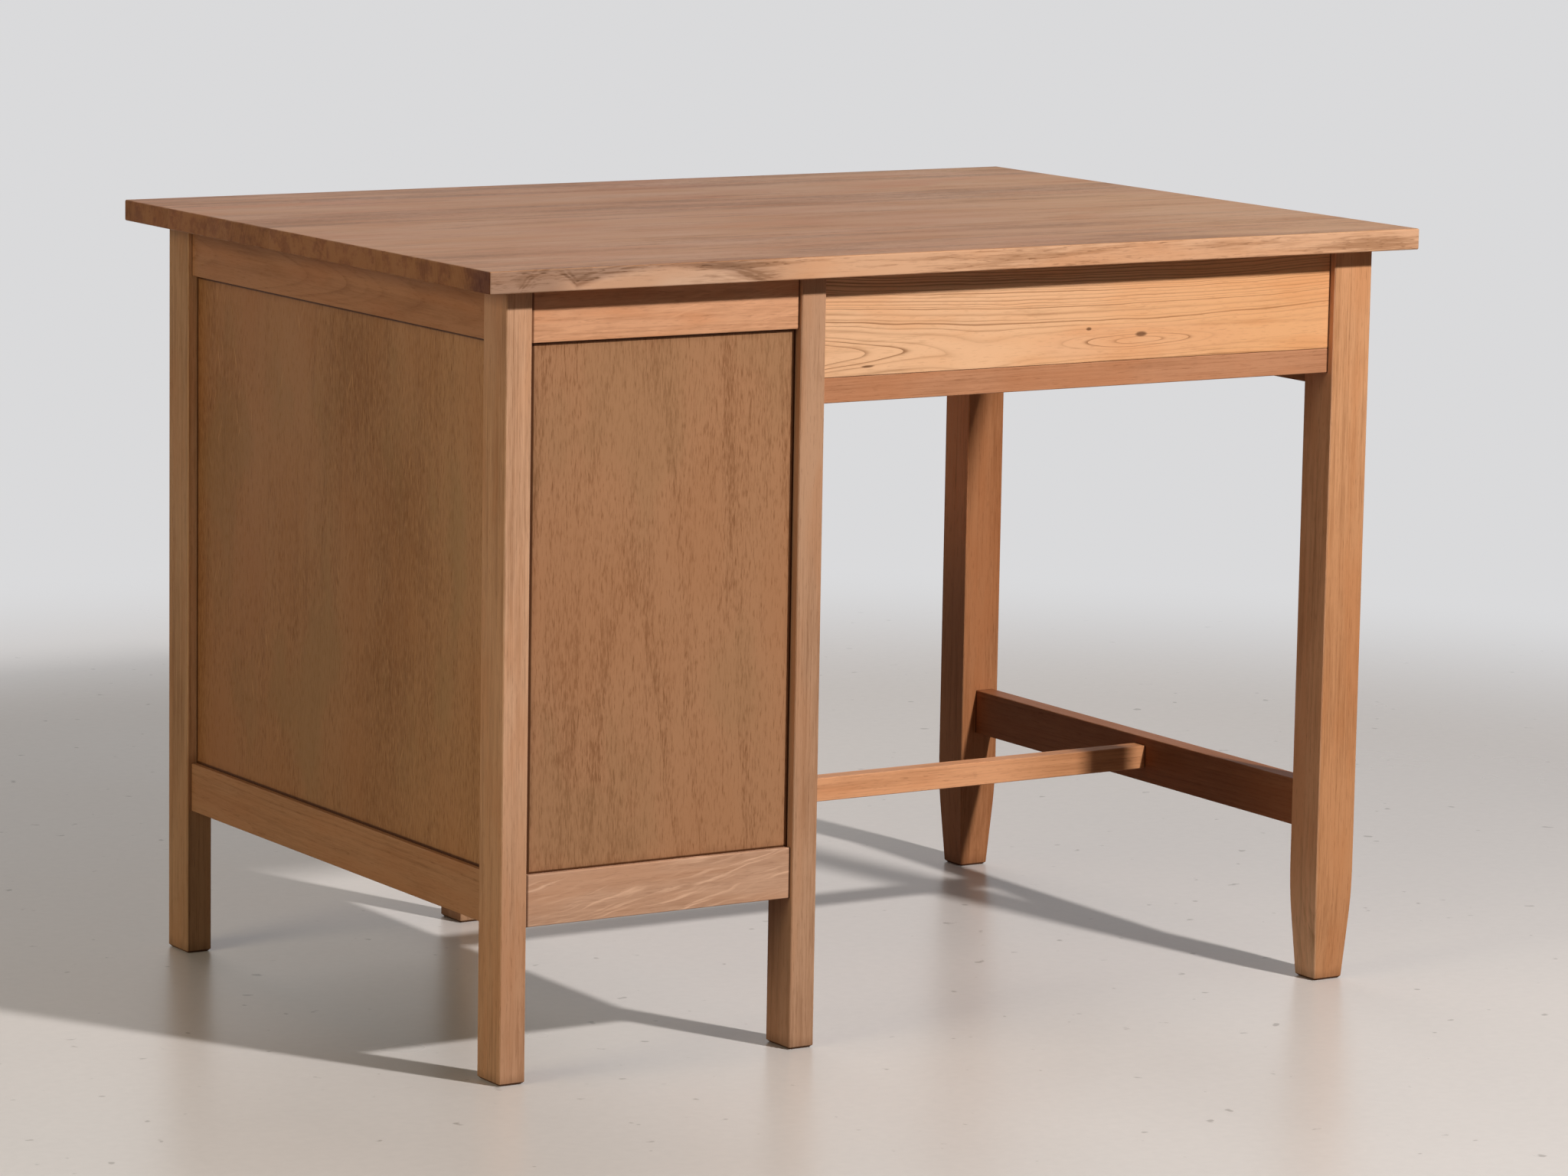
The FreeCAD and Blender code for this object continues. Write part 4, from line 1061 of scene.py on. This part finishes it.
# %% [markdown]
# ## One slotted screw
#
# Wood screws go up through the kickers, the front rails and the buttons into the top, and only their
# heads show, from below. The CAD screws have plain heads, so each gets a slotted one here. It starts as a
# disc that is cut by two planes. The cone and the shank grow from its rim, and the strip between the cuts
# is pushed in.

# %% One screw
SCREW_RADIUS, SHANK_RADIUS = 4.0 * MM, 2.0 * MM
HEAD_HEIGHT, SCREW_LENGTH = 2.6 * MM, 27.0 * MM
SLOT_WIDTH, SLOT_DEPTH = 1.0 * MM, 1.1 * MM
POINT_SCALE = 0.05


def verts_of(parts):
    return [part for part in parts if isinstance(part, bmesh.types.BMVert)]


def grow_ring(mesh, edges, scale, rise):
    """Extrudes a ring of edges, scales it about its middle and lifts it, and gives the new ring."""
    made = bmesh.ops.extrude_edge_only(mesh, edges=edges)["geom"]
    verts = verts_of(made)
    bmesh.ops.scale(mesh, vec=(scale, scale, 1), verts=verts)
    bmesh.ops.translate(mesh, vec=(0, 0, rise), verts=verts)
    return [part for part in made if isinstance(part, bmesh.types.BMEdge)
            and all(vert in verts for vert in part.verts)]


def slotted_screw():
    """One screw that points up, its slotted head facing down at the origin."""
    mesh = bmesh.new()
    bmesh.ops.create_circle(mesh, cap_ends=True, segments=24, radius=SCREW_RADIUS)
    for side in (-1, 1):
        bmesh.ops.bisect_plane(mesh, geom=mesh.verts[:] + mesh.edges[:] + mesh.faces[:], dist=0.001 * MM,
                               plane_co=(side * SLOT_WIDTH / 2, 0, 0), plane_no=(1, 0, 0))
    rim = [edge for edge in mesh.edges if edge.is_boundary]
    rim = grow_ring(mesh, rim, SHANK_RADIUS / SCREW_RADIUS, HEAD_HEIGHT)
    rim = grow_ring(mesh, rim, 1.0, SCREW_LENGTH - HEAD_HEIGHT - SHANK_RADIUS)
    rim = grow_ring(mesh, rim, POINT_SCALE, SHANK_RADIUS)
    bmesh.ops.edgeloop_fill(mesh, edges=rim)
    middles = {face: face.calc_center_median() for face in mesh.faces}
    strip = [face for face, middle in middles.items() if max(abs(middle.x), middle.z) < SLOT_WIDTH / 4]
    pushed = bmesh.ops.extrude_face_region(mesh, geom=strip)["geom"]
    bmesh.ops.translate(mesh, vec=(0, 0, SLOT_DEPTH), verts=verts_of(pushed))
    bmesh.ops.delete(mesh, geom=strip, context="FACES_ONLY")
    return mesh


print("a screw's head, mm:", round(2 * SCREW_RADIUS / MM, 1))

# %% [markdown]
# ## All the screws
#
# The places are measured from the CAD screws: their heads are flat discs, so the lowest points of the node
# lie in rings, one for each screw. Each copy is turned by chance, as nobody lines up hidden screws.

# %% Screws
STEEL = (0.50, 0.48, 0.45)
STEEL_GRIME = (0.16, 0.10, 0.06)


def screw_places():
    """The middle of each screw's head, found from the lowest points of the CAD screws."""
    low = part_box("top_screws")[0][2]
    rims = []
    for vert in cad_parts["top_screws"].data.vertices:
        if vert.co.z < low + 0.05 * MM:
            near = [rim for rim in rims if (rim[0] - vert.co).length < 3 * SCREW_RADIUS]
            if near:
                near[0].append(vert.co)
            else:
                rims.append([vert.co])
    return [Vector([(min(co[axis] for co in rim) + max(co[axis] for co in rim)) / 2 for axis in range(3)])
            for rim in rims]


def steel():
    """Dull steel with brown grime in patches."""
    finish = Finish(bpy.data.materials.new("screw_steel_finish"))
    grime = finish.step(finish.noise(finish.point(1 / (2.5 * MM)), detail=3.0), 0.45, 0.62)
    colour = finish.mix(grime * 0.6, STEEL, STEEL_GRIME)
    return finish.close(finish.shader(finish.noise(finish.point(9 / MM)), 0.2, 0.05 * MM, Base_Color=colour,
                                      Metallic=1 - grime * 0.5, Roughness=0.38 + grime * 0.3))


one_screw = slotted_screw()
one_screw_data = bpy.data.meshes.new("one_screw")
one_screw.to_mesh(one_screw_data)
one_screw.free()
all_screws = bmesh.new()
turn = random.Random(5)
for place in screw_places():
    start = len(all_screws.verts)
    all_screws.from_mesh(one_screw_data)
    verts = all_screws.verts[start:]
    bmesh.ops.rotate(all_screws, cent=(0, 0, 0), verts=verts,
                     matrix=Quaternion((0, 0, 1), turn.uniform(0, math.pi)).to_matrix())
    bmesh.ops.translate(all_screws, vec=place, verts=verts)
bpy.data.meshes.remove(one_screw_data)
screws = finished_piece("slotted_screws", all_screws, "desk_frame", "top_screws")
screws.data.materials.append(steel())
print("screws:", len(screw_places()), "faces:", len(screws.data.polygons))

# %% [markdown]
# ## The floor
#
# The floor is pale polished concrete: nearly even, with faint clouds and a few dark specks, and smooth
# enough to show a soft reflection of the feet. Far from the desk it turns into plain pale paper for what
# the camera sees, so that no horizon cuts the picture. Light that bounces off it meets a darker floor than
# the camera sees, which keeps the shadow under the overhang as deep as in the photograph.

# %% Floor
FLOOR_COLOUR = (0.700, 0.648, 0.626)
BOUNCE_COLOUR = (0.170, 0.135, 0.110)
BACKDROP_COLOUR = (0.70, 0.70, 0.71)
FLOOR_RADIUS = 40.0
PAPER_START = 1.5
PAPER_END = 2.6


def seen_directly(finish):
    """1 for the camera and for reflections, and 0 for light on its way."""
    seen = 0.0
    for ray in ("Is Camera Ray", "Is Glossy Ray", "Is Transmission Ray"):
        seen = finish.sum("MAXIMUM", seen, finish.node("ShaderNodeLightPath", output=ray))
    return seen


def floor_finish():
    finish = Finish(bpy.data.materials.new("floor_concrete"))
    cloud = finish.noise(finish.point(), detail=5.0, rough=0.6)
    fine = finish.noise(finish.point(90.0))
    speck = finish.step(finish.noise(finish.point(42.0)), 0.70, 0.76)
    colour = finish.mix(cloud * 0.7 + fine * 0.3, tuple(part * 0.86 for part in FLOOR_COLOUR),
                        tuple(part * 1.14 for part in FLOOR_COLOUR))
    colour = finish.mix(speck * 0.5, colour, BOUNCE_COLOUR)
    colour = finish.mix(seen_directly(finish), BOUNCE_COLOUR, colour)
    surface = finish.shader(fine, 0.08, 1 * MM, Base_Color=colour, Roughness=0.30 + (cloud - 0.5) * 0.2,
                            Specular_IOR_Level=0.3)
    paper = finish.node("ShaderNodeEmission", None, {"Color": (*BACKDROP_COLOUR, 1), "Strength": 1.0})
    distance = finish.node("ShaderNodeVectorMath", {"operation": "LENGTH"}, {0: finish.point()},
                           output="Value")
    far = finish.step(distance, PAPER_START, PAPER_END) * seen_directly(finish)
    return finish.close(finish.node("ShaderNodeMixShader", None, {0: far, 1: surface, 2: paper}))


floor_mesh = bmesh.new()
bmesh.ops.create_circle(floor_mesh, cap_ends=True, segments=96, radius=FLOOR_RADIUS)
floor = mesh_object("floor", floor_mesh)
floor.data.materials.append(floor_finish())
print("floor radius, m:", FLOOR_RADIUS)

# %% [markdown]
# ## Lamps and world
#
# The photograph's shadows lead back to one place, high behind the desk and to the right of the camera, so
# the main lamp stands there. Its light fades a little from the kneehole leg to the far pedestal corner,
# but less than so near a lamp would make it, so it halves when the distance doubles instead of
# quartering. Two broad lamps stand for the light that comes back from the room. All are hidden from
# reflections, because a glare on the top would cover its grain. Each has a place, a point it looks at, a
# size, a power, a colour and a shape.

# %% Lamps and world
LAMPS = {
    "key_lamp": ((-0.92, 2.9, 2.3), (0, 0, 0.45), 0.20, 35.8, (1.0, 0.985, 0.95), "DISK"),
    "pedestal_side_lamp": ((4.2, 0.52, 1.7), (0, 0, 0.5), 2.0, 58.0, (1.0, 0.91, 0.66), "SQUARE"),
    "sitter_side_lamp": ((-0.8, -4.2, 2.2), (0, 0, 0.4), 2.5, 50.0, (1.0, 0.96, 0.90), "SQUARE")}
WORLD_LEVEL = 0.07
WORLD_COLOUR = (1.0, 0.98, 0.96)

lamps = {}
for name, (place, target, size, power, colour, shape) in LAMPS.items():
    data = bpy.data.lights.new(name, "AREA")
    data.shape = shape
    data.size = size
    data.energy = power
    data.color = colour
    lamps[name] = add_aimed(name, data, place, Vector(target) - Vector(place))
    lamps[name].visible_glossy = False
    print(name, power)

even = Finish(lamps["key_lamp"].data)
steady = even.node("ShaderNodeLightFalloff", None, {"Strength": 1.0}, output="Linear")
even.close(even.node("ShaderNodeEmission", None, {"Strength": steady}), "Light")

sky = Finish(bpy.data.worlds.new("studio"))
light = sky.node("ShaderNodeBackground", None, {"Color": (*WORLD_COLOUR, 1), "Strength": WORLD_LEVEL})
backdrop = sky.node("ShaderNodeBackground", None, {"Color": (*BACKDROP_COLOUR, 1), "Strength": 1.0})
both = sky.node("ShaderNodeMixShader", None, {0: seen_directly(sky), 1: light, 2: backdrop})
bpy.context.scene.world = sky.close(both, "World")
bpy.context.scene.view_settings.view_transform = "Standard"

# %% [markdown]
# ## Sizes
#
# The finished desk must stay as large as the CAD model.
